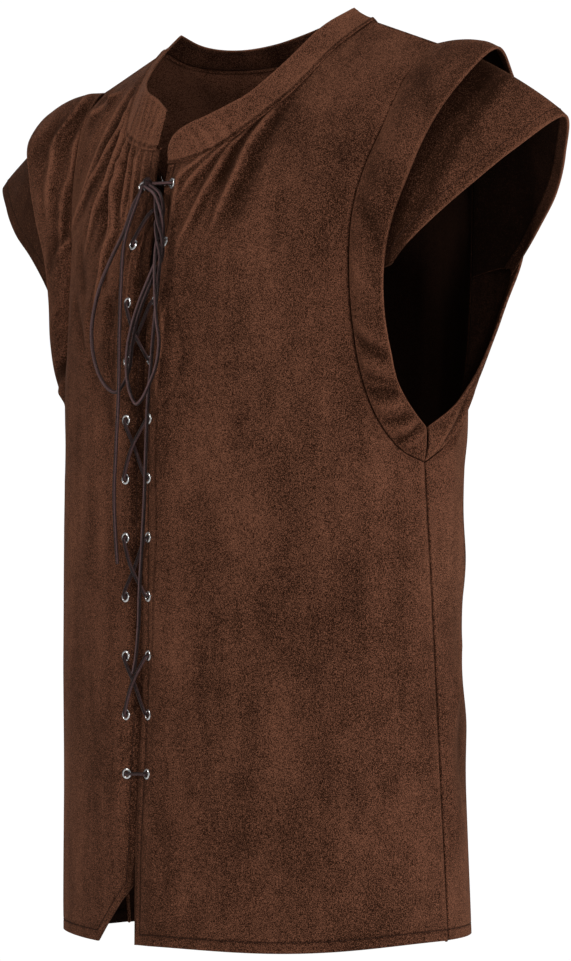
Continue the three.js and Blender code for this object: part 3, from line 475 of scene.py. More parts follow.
def fine_steps(length, step, first=0, last=0, border=14, border_step=1.1):
    """Places from 0 to length, closer together within a border of either end."""
    places = list(np.linspace(0, length, max(2, round(length / step)) + 1))
    if first:
        places = [x for x in places if x > border] + list(np.arange(0, border, border_step))
    if last:
        near = length - np.arange(0, border, border_step)
        places = [x for x in places if x < length - border] + list(near)
    return np.array(sorted(places)) / length


def merged_shares(shares, fixed):
    near = np.min(np.abs(shares[:, None] - np.array(fixed)[None, :]), axis=1)
    return np.array(sorted([*shares[near > 0.002], *fixed]))


def panel_rows():
    body = fine_steps(BODY_RUN, BODY_STEP, first=1)[:-1]
    armhole = fine_steps(ARMHOLE_RUN, ARMHOLE_STEP)
    yoke = fine_steps(YOKE_RUN, YOKE_STEP, last=1, border=8)[1:]
    return body, armhole, yoke


def front_grid(side_name, side, neck_table, cut_corner):
    """A front as if it were on the wearer's left, its edge rolled in by the lacing."""
    neck = curve_through(neck_table)
    corner_angle = CORNER_WIDTH / SECTIONS[0][HALF_WIDTH]
    edge_angle = float(front_edge_angle(side, 0))
    corner_height = CORNER_HEIGHT if cut_corner else 0

    def hem(angle):
        cut = np.maximum(0, 1 - (angle - edge_angle) / corner_angle)
        belly = HEM_BELLY[side_name] * np.sin(2 * angle) ** 2
        return hem_height(angle) - belly + corner_height * cut

    def middle_top(share, start):
        point = start + (neck(0) - start) * share
        point[0] = table_value(OPENING, side, point[2])
        point[1] -= EDGE_BOW * math.sin(math.pi * share)
        return point

    shares = fine_steps(PANEL_RUN, FRONT_STEP, first=1, last=1, border=13)
    shares = merged_shares(shares, [FRONT_NECK_SHARE])
    grid = panel_grid(
        middle=lambda height: front_edge_angle(side, height),
        hem=hem,
        armhole=ARMHOLE_FRONT,
        top=top_edge(neck, FRONT_NECK_SHARE),
        middle_top=middle_top,
        shares=shares,
        rows=panel_rows(),
    )
    below_neck = neck_table[0][2] - grid[:, :1, 2]
    roll = EDGE_ROLL[side_name] * smooth(below_neck / EDGE_ROLL_FADE)
    roll = roll * (1 - smooth(edge_distances(grid)[0] / EDGE_ROLL_WIDTH))
    tuck = TUCK[side_name] * smooth(1 - edge_distances(grid)[0] / TUCK_WIDTH)
    tuck = tuck * smooth((grid[..., 2] - TUCK_FROM) / TUCK_FROM_FADE)
    tuck = tuck * smooth((TUCK_TO - grid[..., 2]) / TUCK_TO_FADE)
    grid = grid - grid_normals(grid) * roll[..., None]
    return grid + tuck[..., None] * np.array([-TUCK_REACH, TUCK_DEPTH, 0])


def mirrored(points):
    return points * np.array([-1, 1, 1])


def back_grid():
    neck = curve_through(NECK_BACK)
    top_middle = neck(1)

    def middle_top(t, start):
        bend = np.array([0, start[1], (start[2] + top_middle[2]) / 2])
        return bent(start, bend, top_middle, t)

    shares = fine_steps(PANEL_RUN, BACK_STEP, last=1, border=8)
    shares = merged_shares(shares, [BACK_NECK_SHARE])
    half = panel_grid(
        middle=lambda height: math.pi,
        hem=hem_height,
        armhole=ARMHOLE_BACK,
        top=top_edge(lambda share: neck(1 - share), BACK_NECK_SHARE),
        middle_top=middle_top,
        shares=shares,
        rows=panel_rows(),
    )
    return np.concatenate([half[:, :0:-1], mirrored(half)], axis=1)


def mirrored_grid(grid):
    return mirrored(grid)[:, ::-1]


# ---- cloth ----


def grid_normals(grid):
    """Which way the cloth faces at each point of its grid."""
    across = np.empty_like(grid)
    across[:, 1:-1] = grid[:, 2:] - grid[:, :-2]
    across[:, 0], across[:, -1] = grid[:, 1] - grid[:, 0], grid[:, -1] - grid[:, -2]
    upward = np.empty_like(grid)
    upward[1:-1] = grid[2:] - grid[:-2]
    upward[0], upward[-1] = grid[1] - grid[0], grid[-1] - grid[-2]
    return unit(np.cross(across, upward))


def edge_distances(grid):
    """Distance of each point from the first and last column and from the first and last row."""
    across = np.linalg.norm(np.diff(grid, axis=1), axis=2)
    along = np.linalg.norm(np.diff(grid, axis=0), axis=2)
    first = np.concatenate([np.zeros((len(grid), 1)), np.cumsum(across, axis=1)], axis=1)
    low = np.concatenate([np.zeros((1, grid.shape[1])), np.cumsum(along, axis=0)], axis=0)
    return first, first[:, -1:] - first, low, low[-1:] - low


def path_distance(x, z, path):
    """Distance from a flat path and the share of its length at the nearest place."""
    path = np.asarray(path, float)
    lengths = np.linalg.norm(np.diff(path, axis=0), axis=1)
    before = np.concatenate([[0], np.cumsum(lengths)])
    best = np.full(x.shape, 1e9)
    share = np.zeros(x.shape)
    for start, end, length, done in zip(path, path[1:], lengths, before):
        along = (end - start) / length
        place = np.clip((x - start[0]) * along[0] + (z - start[1]) * along[1], 0, length)
        distance = np.hypot(x - start[0] - along[0] * place, z - start[1] - along[1] * place)
        share = np.where(distance < best, (done + place) / before[-1], share)
        best = np.minimum(distance, best)
    return best, share


def fold_height(folds, x, z, is_crease):
    """Soft ridges and troughs, and the painted light on them: a painted highlight on a crest, painted
    shade along its foot.
    """
    height = np.zeros(x.shape)
    crest = np.zeros(x.shape)
    flank = np.zeros(x.shape)
    for path, half_width, ridge in folds:
        if is_crease:
            path = curve_through(path)(np.linspace(0, 1, 6 * len(path)))
        distance, share = path_distance(x, z, path)
        if is_crease:
            fade = smooth((1 - share) * 2.6) * (0.35 + 0.65 * smooth(share * 6))
            profile = np.exp(-((distance / half_width) ** 1.45))
            if ridge > 0 and half_width < CREST_LIMIT:
                painted_light = ridge * fade * np.exp(-((distance / (CREST_SHARE * half_width)) ** 2))
                crest = np.maximum(crest, painted_light)
                foot = (distance - 1.5 * half_width) / (0.8 * half_width)
                flank = np.maximum(flank, ridge * fade * np.exp(-(foot**2)))
        else:
            fade = smooth(1.15 - np.abs(2 * share - 1))
            profile = np.exp(-((distance / half_width) ** 2))
        height += ridge * fade * profile
    crest = np.minimum(crest, 3)
    return height, CREST_SHADE * crest - FLANK_SHADE * flank * (1 - crest / 3)


def crease_light_and_shade(crease, painted_light):
    """Painted light on creased cloth: painted highlights on crests, and painted shade in troughs."""
    return painted_light + VALLEY_SHADE * np.clip(crease, -4, 0)


def soft_noise(points, scale, seed):
    """Sum of slow waves in fixed random directions, between about -1 and 1."""
    random = np.random.default_rng(seed)
    total = np.zeros(points.shape[:-1])
    for _ in range(7):
        direction = unit(random.normal(size=3)) / scale * random.uniform(0.6, 1.5)
        total += np.sin(points @ direction + random.uniform(0, 2 * math.pi))
    return total / 3.2


class Cloth:
    """A cut piece: its outer points, facing, and what is painted on it by place."""

    def __init__(self, grid):
        self.grid = grid
        self.normals = grid_normals(grid)
        self.nap_shade = np.zeros(grid.shape[:2])
        self.turned = np.zeros(grid.shape[:2])

    def lift(self, height):
        self.grid = self.grid + self.normals * height[..., None]

    def refresh(self):
        self.normals = grid_normals(self.grid)


def to_metres(points):
    return (np.asarray(points) - np.array([0, 0, HOLD_HEIGHT])) / 1000


def mesh_object(name, points, faces):
    mesh = bpy.data.meshes.new(name)
    mesh.from_pydata(to_metres(points).tolist(), [], faces)
    mesh.validate()
    mesh.update()
    mesh.shade_smooth()
    made = bpy.data.objects.new(name, mesh)
    bpy.context.scene.collection.objects.link(made)
    return made


def paint(obj, name, values):
    layer = obj.data.attributes.new(name, "FLOAT", "POINT")
    layer.data.foreach_set("value", np.asarray(values, np.float32))


RIM_TURNS = (0.3, 0.5, 0.7)  # shares of the half turn from the outer face to the inner
RIM_INSET = 0.55


def wall_object(name, cloth, inside_shade, thickness=WALL, inner_nap=0.0):
    """A closed wall with rounded rims: outer face, three rings round the rim, inner face."""
    grid, normals = cloth.grid, cloth.normals
    rows, columns = grid.shape[:2]
    centre_in = np.zeros_like(grid)
    centre_in[:, 0] += unit(grid[:, 1] - grid[:, 0])
    centre_in[:, -1] += unit(grid[:, -2] - grid[:, -1])
    centre_in[0] += unit(grid[1] - grid[0])
    centre_in[-1] += unit(grid[-2] - grid[-1])
    border = [(0, c) for c in range(columns)]
    border += [(r, columns - 1) for r in range(1, rows)]
    border += [(rows - 1, c) for c in range(columns - 2, -1, -1)]
    border += [(r, 0) for r in range(rows - 2, 0, -1)]
    br = np.array([r for r, _ in border])
    bc = np.array([c for _, c in border])
    radius = thickness / 2
    inset = unit(centre_in[br, bc])
    depth = thickness + cloth.turned * HEM_TURN_THICKNESS
    outer = grid.copy()
    outer[br, bc] += inset * radius * RIM_INSET
    inner = grid - normals * depth[..., None]
    inner[br, bc] += inset * radius * RIM_INSET
    points = [outer.reshape(-1, 3), inner.reshape(-1, 3)]
    count = rows * columns
    nap_shade = [cloth.nap_shade.ravel(), cloth.nap_shade.ravel() + inner_nap]
    inside = [np.zeros(count), inside_shade.ravel()]
    rings = [br * columns + bc]
    base = 2 * count
    for turn in RIM_TURNS:
        angle = math.pi * turn
        out = (1 - math.sin(angle)) * radius * RIM_INSET
        down = (1 - math.cos(angle)) / 2 * depth[br, bc]
        ring = grid[br, bc] + inset * out - normals[br, bc] * down[:, None]
        points.append(ring)
        nap_shade.append(cloth.nap_shade[br, bc])
        inside.append(inside_shade[br, bc] * smooth((turn - 0.5) * 2))
        rings.append(base + np.arange(len(br)))
        base += len(br)
    rings.append(count + br * columns + bc)
    index = np.arange(count).reshape(rows, columns)
    a, b = index[:-1, :-1], index[:-1, 1:]
    c, d = index[1:, 1:], index[1:, :-1]
    faces = np.stack([a, b, c, d], axis=-1).reshape(-1, 4).tolist()
    faces += (np.stack([a, d, c, b], axis=-1).reshape(-1, 4) + count).tolist()
    for first, second in zip(rings, rings[1:]):
        nxt, nxt2 = np.roll(first, -1), np.roll(second, -1)
        faces += np.stack([first, second, nxt2, nxt], axis=-1).tolist()
    made = mesh_object(name, np.concatenate(points), faces)
    paint(made, "nap_shade", np.clip(np.concatenate(nap_shade), -1, 1))
    paint(made, "inside_shade", np.concatenate(inside))
    return made


# ---- finishes ----


def new_group(name, inputs, outputs):
    group = bpy.data.node_groups.new(name, "ShaderNodeTree")
    for label, kind, value in inputs:
        socket = group.interface.new_socket(label, in_out="INPUT", socket_type=kind)
        socket.default_value = value
    for label, kind in outputs:
        group.interface.new_socket(label, in_out="OUTPUT", socket_type=kind)
    return group


def feed(tree, value, socket):
    """Links a node's output to a socket, or gives the socket a value of its own."""
    if isinstance(value, bpy.types.NodeSocket):
        tree.links.new(value, socket)
    else:
        socket.default_value = value


def math_node(tree, operation, *values):
    node = tree.nodes.new("ShaderNodeMath")
    node.operation = operation
    for socket, value in zip(node.inputs, values):
        feed(tree, value, socket)
    return node.outputs[0]


def noise_node(tree, vector, scale, detail, roughness=0.5):
    node = tree.nodes.new("ShaderNodeTexNoise")
    settings = {"Vector": vector, "Scale": scale, "Detail": detail, "Roughness": roughness}
    for name, value in settings.items():
        feed(tree, value, node.inputs[name])
    return node.outputs["Fac"]


def mix_node(tree, share, first, second):
    node = tree.nodes.new("ShaderNodeMix")
    node.data_type = "RGBA"
    for name, value in (("Factor", share), ("A", first), ("B", second)):
        socket = [s for s in node.inputs if s.name == name and s.enabled][0]
        feed(tree, value, socket)
    return [s for s in node.outputs if s.enabled][0]


SUEDE_DARK = (0.014, 0.0050, 0.0026, 1)
SUEDE_LIGHT = (0.205, 0.082, 0.047, 1)
INSIDE_SHADE_COLOR = (0.0014, 0.0008, 0.0006, 1)
GRAIN_SCALE = 1450.0
GRAIN_CONTRAST = 4.8
GRAIN_LEVEL = 0.33
SHEEN = 0.15


def nap_and_shade_group():
    """Short brushed suede: fine speckle and soft brushed patches, with the painted highlights on ridges
    and painted shade in troughs that it is given.
    """
    tree = new_group(
        "brushed_nap_and_shade",
        [
            ("Dark", "NodeSocketColor", SUEDE_DARK),
            ("Light", "NodeSocketColor", SUEDE_LIGHT),
            ("Grain", "NodeSocketFloat", GRAIN_SCALE),
            ("Nap shade", "NodeSocketFloat", 0.0),
        ],
        [
            ("Color", "NodeSocketColor"),
            ("Roughness", "NodeSocketFloat"),
            ("Height", "NodeSocketFloat"),
        ],
    )
    into = tree.nodes.new("NodeGroupInput")
    out = tree.nodes.new("NodeGroupOutput")
    coordinate = tree.nodes.new("ShaderNodeTexCoord").outputs["Object"]
    grain = noise_node(tree, coordinate, into.outputs["Grain"], 2.0, 0.6)
    clump = noise_node(tree, coordinate, 380.0, 2.0, 0.6)
    mottle = noise_node(tree, coordinate, 60.0, 3.0, 0.55)
    patch = noise_node(tree, coordinate, 9.0, 2.0, 0.5)
    stretch = tree.nodes.new("ShaderNodeMapping")
    stretch.inputs["Scale"].default_value = (1.0, 1.0, 0.22)
    tree.links.new(coordinate, stretch.inputs["Vector"])
    brushed = noise_node(tree, stretch.outputs["Vector"], 34.0, 3.0, 0.55)
    level = GRAIN_LEVEL - GRAIN_CONTRAST / 2
    share = math_node(tree, "MULTIPLY_ADD", grain, GRAIN_CONTRAST, level)
    for pattern, contrast in ((clump, 0.55), (mottle, 0.5), (patch, 0.6), (brushed, 0.85)):
        centred = math_node(tree, "SUBTRACT", pattern, 0.5)
        share = math_node(tree, "MULTIPLY_ADD", centred, contrast, share)
    painted_light = math_node(tree, "MULTIPLY_ADD", into.outputs["Nap shade"], 0.5, share)
    clamp = tree.nodes.new("ShaderNodeClamp")
    tree.links.new(painted_light, clamp.inputs["Value"])
    color = mix_node(tree, clamp.outputs[0], into.outputs["Dark"], into.outputs["Light"])
    tree.links.new(color, out.inputs["Color"])
    roughness = math_node(tree, "MULTIPLY_ADD", grain, -0.16, 0.98)
    tree.links.new(roughness, out.inputs["Roughness"])
    height = math_node(tree, "MULTIPLY_ADD", clump, 0.6, grain)
    tree.links.new(height, out.inputs["Height"])
    return tree


def new_material(name):
    material = bpy.data.materials.new(name)
    material.use_nodes = True
    tree = material.node_tree
    return material, tree, tree.nodes["Principled BSDF"]


def attribute_node(tree, name):
    node = tree.nodes.new("ShaderNodeAttribute")
    node.attribute_name = name
    return node.outputs["Fac"]


def bump_node(tree, height, distance, strength=1.0):
    node = tree.nodes.new("ShaderNodeBump")
    node.inputs["Distance"].default_value = distance
    node.inputs["Strength"].default_value = strength
    tree.links.new(height, node.inputs["Height"])
    return node.outputs["Normal"]


def suede_material():
    material, tree, shader = new_material("brown_suede")
    # The painted highlights and painted shade on the cloth are brought in here and mixed into its
    # colour.
    nap_shade = tree.nodes.new("ShaderNodeGroup")
    nap_shade.node_tree = nap_and_shade_group()
    tree.links.new(attribute_node(tree, "nap_shade"), nap_shade.inputs["Nap shade"])
    # Painted shade inside the garment: the inner faces are mixed towards near black and lose their
    # sheen.
    inside_shade = attribute_node(tree, "inside_shade")
    color = mix_node(tree, inside_shade, nap_shade.outputs["Color"], INSIDE_SHADE_COLOR)
    tree.links.new(color, shader.inputs["Base Color"])
    tree.links.new(nap_shade.outputs["Roughness"], shader.inputs["Roughness"])
    tree.links.new(bump_node(tree, nap_shade.outputs["Height"], 0.0005, 1.0), shader.inputs["Normal"])
    sheen = math_node(tree, "MULTIPLY_ADD", inside_shade, -SHEEN, SHEEN)
    tree.links.new(sheen, shader.inputs["Sheen Weight"])
    shader.inputs["Specular IOR Level"].default_value = 0.06
    shader.inputs["Specular Tint"].default_value = (1.0, 0.62, 0.42, 1)
    shader.inputs["Sheen Roughness"].default_value = 0.38
    shader.inputs["Sheen Tint"].default_value = (0.70, 0.30, 0.16, 1)
    return material


LACE_DARK = (0.003, 0.0014, 0.0015, 1)
# The pale end of the lace's colour, for its paler streaks and its painted highlights.
LACE_PALE_AND_LIT = (0.15, 0.078, 0.078, 1)
LACE_RIDGE_SHADE = 0.75


def lace_material():
    """Waxed leather in darker and paler streaks along its length, with painted highlights along its two
    ridges.
    """
    material, tree, shader = new_material("waxed_lace")
    uv = tree.nodes.new("ShaderNodeTexCoord").outputs["UV"]
    stretch = tree.nodes.new("ShaderNodeMapping")
    stretch.inputs["Scale"].default_value = (0.35, 3.0, 1.0)
    tree.links.new(uv, stretch.inputs["Vector"])
    streak = noise_node(tree, stretch.outputs["Vector"], 3.2, 4.0, 0.6)
    coordinate = tree.nodes.new("ShaderNodeTexCoord").outputs["Object"]
    speck = noise_node(tree, coordinate, 700.0, 2.0, 0.5)
    share = math_node(tree, "MULTIPLY_ADD", streak, 4.8, -2.45)
    share = math_node(tree, "MULTIPLY_ADD", speck, 0.4, share)
    # Painted highlights along the lace's two ridges, and painted shade between them.
    around = tree.nodes.new("ShaderNodeSeparateXYZ")
    tree.links.new(uv, around.inputs[0])
    turn = math_node(tree, "MULTIPLY", around.outputs[1], 2 / LACE_SEEN_RADIUS)
    ridge = math_node(tree, "COSINE", turn)
    share = math_node(tree, "MULTIPLY_ADD", ridge, LACE_RIDGE_SHADE, share)
    color = mix_node(tree, share, LACE_DARK, LACE_PALE_AND_LIT)
    tree.links.new(color, shader.inputs["Base Color"])
    rough = math_node(tree, "MULTIPLY_ADD", speck, 0.16, 0.22)
    tree.links.new(rough, shader.inputs["Roughness"])
    tree.links.new(bump_node(tree, streak, 0.0007, 1.0), shader.inputs["Normal"])
    shader.inputs["Specular IOR Level"].default_value = 0.42
    shader.inputs["Specular Tint"].default_value = (1.0, 0.76, 0.74, 1)
    return material


def metal_material():
    material, tree, shader = new_material("nickel_eyelet")
    coordinate = tree.nodes.new("ShaderNodeTexCoord").outputs["Object"]
    scuff = noise_node(tree, coordinate, 420.0, 3.0, 0.6)
    color = mix_node(tree, scuff, (0.48, 0.47, 0.46, 1), (0.92, 0.91, 0.9, 1))
    tree.links.new(color, shader.inputs["Base Color"])
    rough = math_node(tree, "MULTIPLY_ADD", scuff, 0.22, 0.14)
    tree.links.new(rough, shader.inputs["Roughness"])
    shader.inputs["Metallic"].default_value = 1.0
    tree.links.new(bump_node(tree, scuff, 0.0001, 0.4), shader.inputs["Normal"])
    return material


def thread_material():
    material, tree, shader = new_material("brown_thread")
    coordinate = tree.nodes.new("ShaderNodeTexCoord").outputs["Object"]
    twist = tree.nodes.new("ShaderNodeTexWave")
    tree.links.new(coordinate, twist.inputs["Vector"])
    twist.inputs["Scale"].default_value = 700.0
    color = mix_node(tree, twist.outputs["Fac"], (0.01, 0.004, 0.0025, 1), (0.06, 0.024, 0.014, 1))
    tree.links.new(color, shader.inputs["Base Color"])
    tree.links.new(bump_node(tree, twist.outputs["Fac"], 0.0001, 0.6), shader.inputs["Normal"])
    shader.inputs["Roughness"].default_value = 0.8
    shader.inputs["Specular IOR Level"].default_value = 0.1
    return material


SUEDE = suede_material()
LACE = lace_material()
METAL = metal_material()
THREAD = thread_material()


def finished(obj, material, replaced=()):
    obj.data.materials.append(material)
    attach(obj, "root")
    if replaced:
        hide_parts(*replaced)
    return obj


# ---- the camera ----
CAMERA_AZIMUTH = 50
CAMERA_DISTANCE = 3.95
CAMERA_HEIGHT = -0.508
FOCAL_PIXELS = 4955
IMAGE_WIDTH, IMAGE_HEIGHT = 571, 961
AXIS_PIXEL = (261, 688)

camera_turn = math.radians(CAMERA_AZIMUTH)
camera = bpy.data.cameras.new("camera")
camera.sensor_width = 36
camera.lens = FOCAL_PIXELS * camera.sensor_width / IMAGE_HEIGHT
camera.shift_x = (IMAGE_WIDTH / 2 - AXIS_PIXEL[0]) / IMAGE_HEIGHT
camera.shift_y = (AXIS_PIXEL[1] - IMAGE_HEIGHT / 2) / IMAGE_HEIGHT
camera_object = bpy.data.objects.new("camera", camera)
camera_object.location = (
    CAMERA_DISTANCE * math.sin(camera_turn),
    -CAMERA_DISTANCE * math.cos(camera_turn),
    CAMERA_HEIGHT,
)
camera_object.rotation_euler = (math.pi / 2, 0, camera_turn)
bpy.context.scene.collection.objects.link(camera_object)
bpy.context.scene.camera = camera_object

# ---- the two fronts and the back ----


def folded(grid, main_folds, creases, lacing_shade=()):
    """The panel with its folds, which die out at the panel's borders."""
    cloth = Cloth(grid)
    first, last, low, high = edge_distances(grid)
    x, z = grid[..., 0], grid[..., 2]
    border = np.minimum(np.minimum(first, last), np.minimum(low, high))
    main = fold_height(main_folds, x, z, False)[0] * smooth(border / 12)
    side = np.minimum(np.minimum(first, last), low)
    fade = smooth(side / 9) * smooth((high + 1.5) / 5)
    crease, painted_light = fold_height(creases, x, z, True)
    crease = crease * fade
    slack = soft_noise(grid, SLACK_SCALE, SLACK_SEED) * 0.35 * smooth(border / 25)
    cloth.lift(main + crease + slack)
    # Painted highlights on the crests, and painted shade on their flanks and in the troughs.
    cloth.nap_shade = crease_light_and_shade(crease, painted_light * fade)
    # Painted shade along the lacing, where the laces and the overlapping edge shade the cloth.
    for shade_path, half_width, dark in lacing_shade:
        distance = path_distance(x, z, shade_path)[0]
        cloth.nap_shade = cloth.nap_shade - dark * np.exp(-((distance / half_width) ** 2))
    cloth.refresh()
    return cloth


def add_seam_roll(cloth, distances, depth=0.8):
    """The cloth dips where it is sewn: painted shade in the seam, and a painted highlight beside it."""
    for distance in distances:
        dip = np.exp(-((distance / SEAM_ROLL) ** 2))
        painted_light = np.exp(-(((distance - SEAM_HIGHLIGHT_AT) / SEAM_HIGHLIGHT_WIDTH) ** 2))
        cloth.lift(-depth * dip)
        cloth.nap_shade = cloth.nap_shade - SEAM_SHADE * dip + SEAM_HIGHLIGHT * painted_light


def add_stitch_groove(cloth, distance, at=EDGE_TOPSTITCH, depth=0.5, shade=0.9):
    """The thread pulls a narrow groove at a distance from the edge."""
    groove = np.exp(-(((distance - at) / GROOVE_WIDTH) ** 2))
    cloth.lift(-depth * groove)
    cloth.nap_shade = cloth.nap_shade - shade * groove


STITCH_LINES = []  # sewn lines, as points on the cloth


def iso_line(grid, normals, distance, at, axis, keep):
    """Points where a distance from an edge has one value, one for each row or column."""
    line = []
    count = grid.shape[1 - axis]
    for k in range(count):
        if not keep[k]:
            continue
        d = distance[:, k] if axis == 0 else distance[k]
        p = grid[:, k] if axis == 0 else grid[k]
        n = normals[:, k] if axis == 0 else normals[k]
        above = d >= at
        flips = np.nonzero(above[1:] != above[:-1])[0]
        if not len(flips):
            continue
        i = flips[0]
        t = (at - d[i]) / (d[i + 1] - d[i])
        place = p[i] + (p[i + 1] - p[i]) * t
        facing = n[i] + (n[i + 1] - n[i]) * t
        line.append(place + facing * STITCH_PROUD)
    return np.array(line)


def sew(cloth, distance, at, axis, keep=None):
    """Lays a line of stitches where a distance from an edge has one value."""
    if keep is None:
        keep = np.ones(cloth.grid.shape[1 - axis], bool)
    line = iso_line(cloth.grid, cloth.normals, distance, at, axis, keep)
    STITCH_LINES.append(line)


SEAM_LINES = []
SEAM_DEPTH = 1.5
NECK_SHOULDER_X = 129.5


def add_seam_line(points, normals):
    """Remembers where a rolled seam allowance lies inside a seam."""
    SEAM_LINES.append(points - normals * SEAM_DEPTH)


fronts = {}
for side_name, side, neck_table, cut, main, creases, lacing_shade in (
    ("left", LEFT_EDGE, NECK_LEFT, False, MAIN_FOLDS_LEFT, CREASES_LEFT, LACING_SHADE_LEFT),
    ("right", RIGHT_EDGE, NECK_RIGHT, True, MAIN_FOLDS_RIGHT, CREASES_RIGHT, LACING_SHADE_RIGHT),
):
    cloth = folded(front_grid(side_name, side, neck_table, cut), main, creases, lacing_shade)
    first, last, low, high = edge_distances(cloth.grid)
    hem_edge = np.minimum(first, low)
    add_stitch_groove(cloth, hem_edge)
    add_seam_roll(cloth, (last, high))
    cloth.refresh()
    on_neck = cloth.grid[-1, :, 0] <= NECK_SHOULDER_X
    add_seam_line(cloth.grid[-1, on_neck], cloth.normals[-1, on_neck])
    on_side = cloth.grid[:, -1, 2] <= UNDERARM
    add_seam_line(cloth.grid[on_side, -1], cloth.normals[on_side, -1])
    keep_rows = low[:, 0] > EDGE_TOPSTITCH
    sew(cloth, first, EDGE_TOPSTITCH, 1, keep_rows & (high[:, 0] > 3))
    sew(cloth, low, EDGE_TOPSTITCH, 0, first[0] > EDGE_TOPSTITCH)
    if side_name == "right":
        cloth.grid = mirrored_grid(cloth.grid)
        cloth.normals = mirrored(cloth.normals)[:, ::-1]
        cloth.nap_shade = cloth.nap_shade[:, ::-1]
        for line in range(-2, 0):
            STITCH_LINES[line] = mirrored(STITCH_LINES[line])
            SEAM_LINES[line] = mirrored(SEAM_LINES[line])
        hem_edge = hem_edge[:, ::-1]
    cloth.turned = smooth((HEM_TURN - hem_edge) / TURN_FADE)
    inside_shade = np.full(cloth.grid.shape[:2], INSIDE_SHADE)
    fronts[side_name] = cloth
    made = wall_object(f"suede_front_{side_name}", cloth, inside_shade)
    finished(made, SUEDE, [f"front_{side_name}"])

back = folded(back_grid(), MAIN_FOLDS_BACK, CREASES_BACK)
first, last, low, high = edge_distances(back.grid)
add_stitch_groove(back, low)
add_seam_roll(back, (first, last, high))
back.refresh()
sew(back, low, EDGE_TOPSTITCH, 0)
add_seam_line(back.grid[-1], back.normals[-1])
back.turned = smooth((HEM_TURN - low) / TURN_FADE)
# The back's inner face is painted near black below the shoulders, as shade inside the garment over its
# darker reverse side, and bare suede shows inside its neck.
bare_share = smooth((back.grid[..., 2] - INSIDE_SHADE_TOP) / INSIDE_SHADE_FADE)
back_inside_shade = INSIDE_SHADE - 0.9 * bare_share
back_object = wall_object("suede_back", back, back_inside_shade, inner_nap=0.5)
finished(back_object, SUEDE, ["back"])

# ---- armhole tiers ----


def ring_stations(front_table, back_table, start):
    front = [list(map(float, point)) for point in front_table[start:]]
    rear = [list(map(float, point)) for point in back_table[start:]]
    return np.array(rear + front[::-1][1:])


def tier_grid(seam, edge, shares, swell):
    """The upper tier from the armhole seam to its edge, swelling out between them."""
    before = np.vstack([seam[:1], seam[:-1]])
    after = np.vstack([seam[1:], seam[-1:]])
    across = -unit(np.cross(edge - seam, after - before))
    reach = np.minimum(1, np.linalg.norm(edge - seam, axis=1) / 40)
    rows = []
    for t in shares:
        lift = swell * math.sin(math.pi * t) * reach
        rows.append(seam + (edge - seam) * t + across * lift[:, None])
    return np.array(rows)


TIER_STEPS = 300
TIER_DEPTH = 45
TIER_STEP = 2.0
TIER_REACH = -0.03
TIER_TURN = 9
TIER_NARROW = 14
CAP_STEPS = 220
CAP_DEPTH = 150
CAP_STEP = 2.6
CAP_TIER_GAP = 1.2
CAP_TOPSTITCH = 9.5
stations = np.linspace(0, 1, TIER_STEPS + 1)
tier_seam = curve_through(ring_stations(ARMHOLE_FRONT, ARMHOLE_BACK, 0))(stations)
tier_edge = curve_through(ring_stations(TIER_FRONT, TIER_BACK, 0))(stations)
tier_steps = fine_steps(TIER_DEPTH, TIER_STEP, first=1, last=1, border=8, border_step=1.0)
tier_shares = TIER_REACH + (1 - TIER_REACH) * tier_steps

# Puckers across the upper tier: station from the underarm round by the back, half width, height.
PUCKERS = [
    (0.03, 0.008, 1.2), (0.055, 0.009, -0.8), (0.075, 0.009, 1.0), (0.11, 0.009, -0.9),
    (0.2, 0.02, 0.8), (0.33, 0.025, 0.9), (0.47, 0.02, 0.8), (0.56, 0.012, -0.6),
    (0.62, 0.02, 0.9), (0.7, 0.012, -0.7), (0.76, 0.012, 0.7), (0.812, 0.007, 0.8),
    (0.83, 0.008, -1.3), (0.85, 0.007, 0.9), (0.868, 0.005, -0.6), (0.887, 0.008, -1.4),
    (0.906, 0.007, 1.0), (0.929, 0.007, -1.2), (0.944, 0.006, 0.9), (0.958, 0.006, -1.1),
    (0.973, 0.006, 0.9),
]
PUCKER_HEIGHT = 1.9
TIER_SHADE = 0.16
PUCKER_SLANT = 0.052
TIER_CREASE_BACK = 8
FAR_CAP_SHADE = 1.0
EDGE_SHADE = 0.9
UNDER_TIER_SHADE = 3.4
UNDER_TIER_REACH = 13


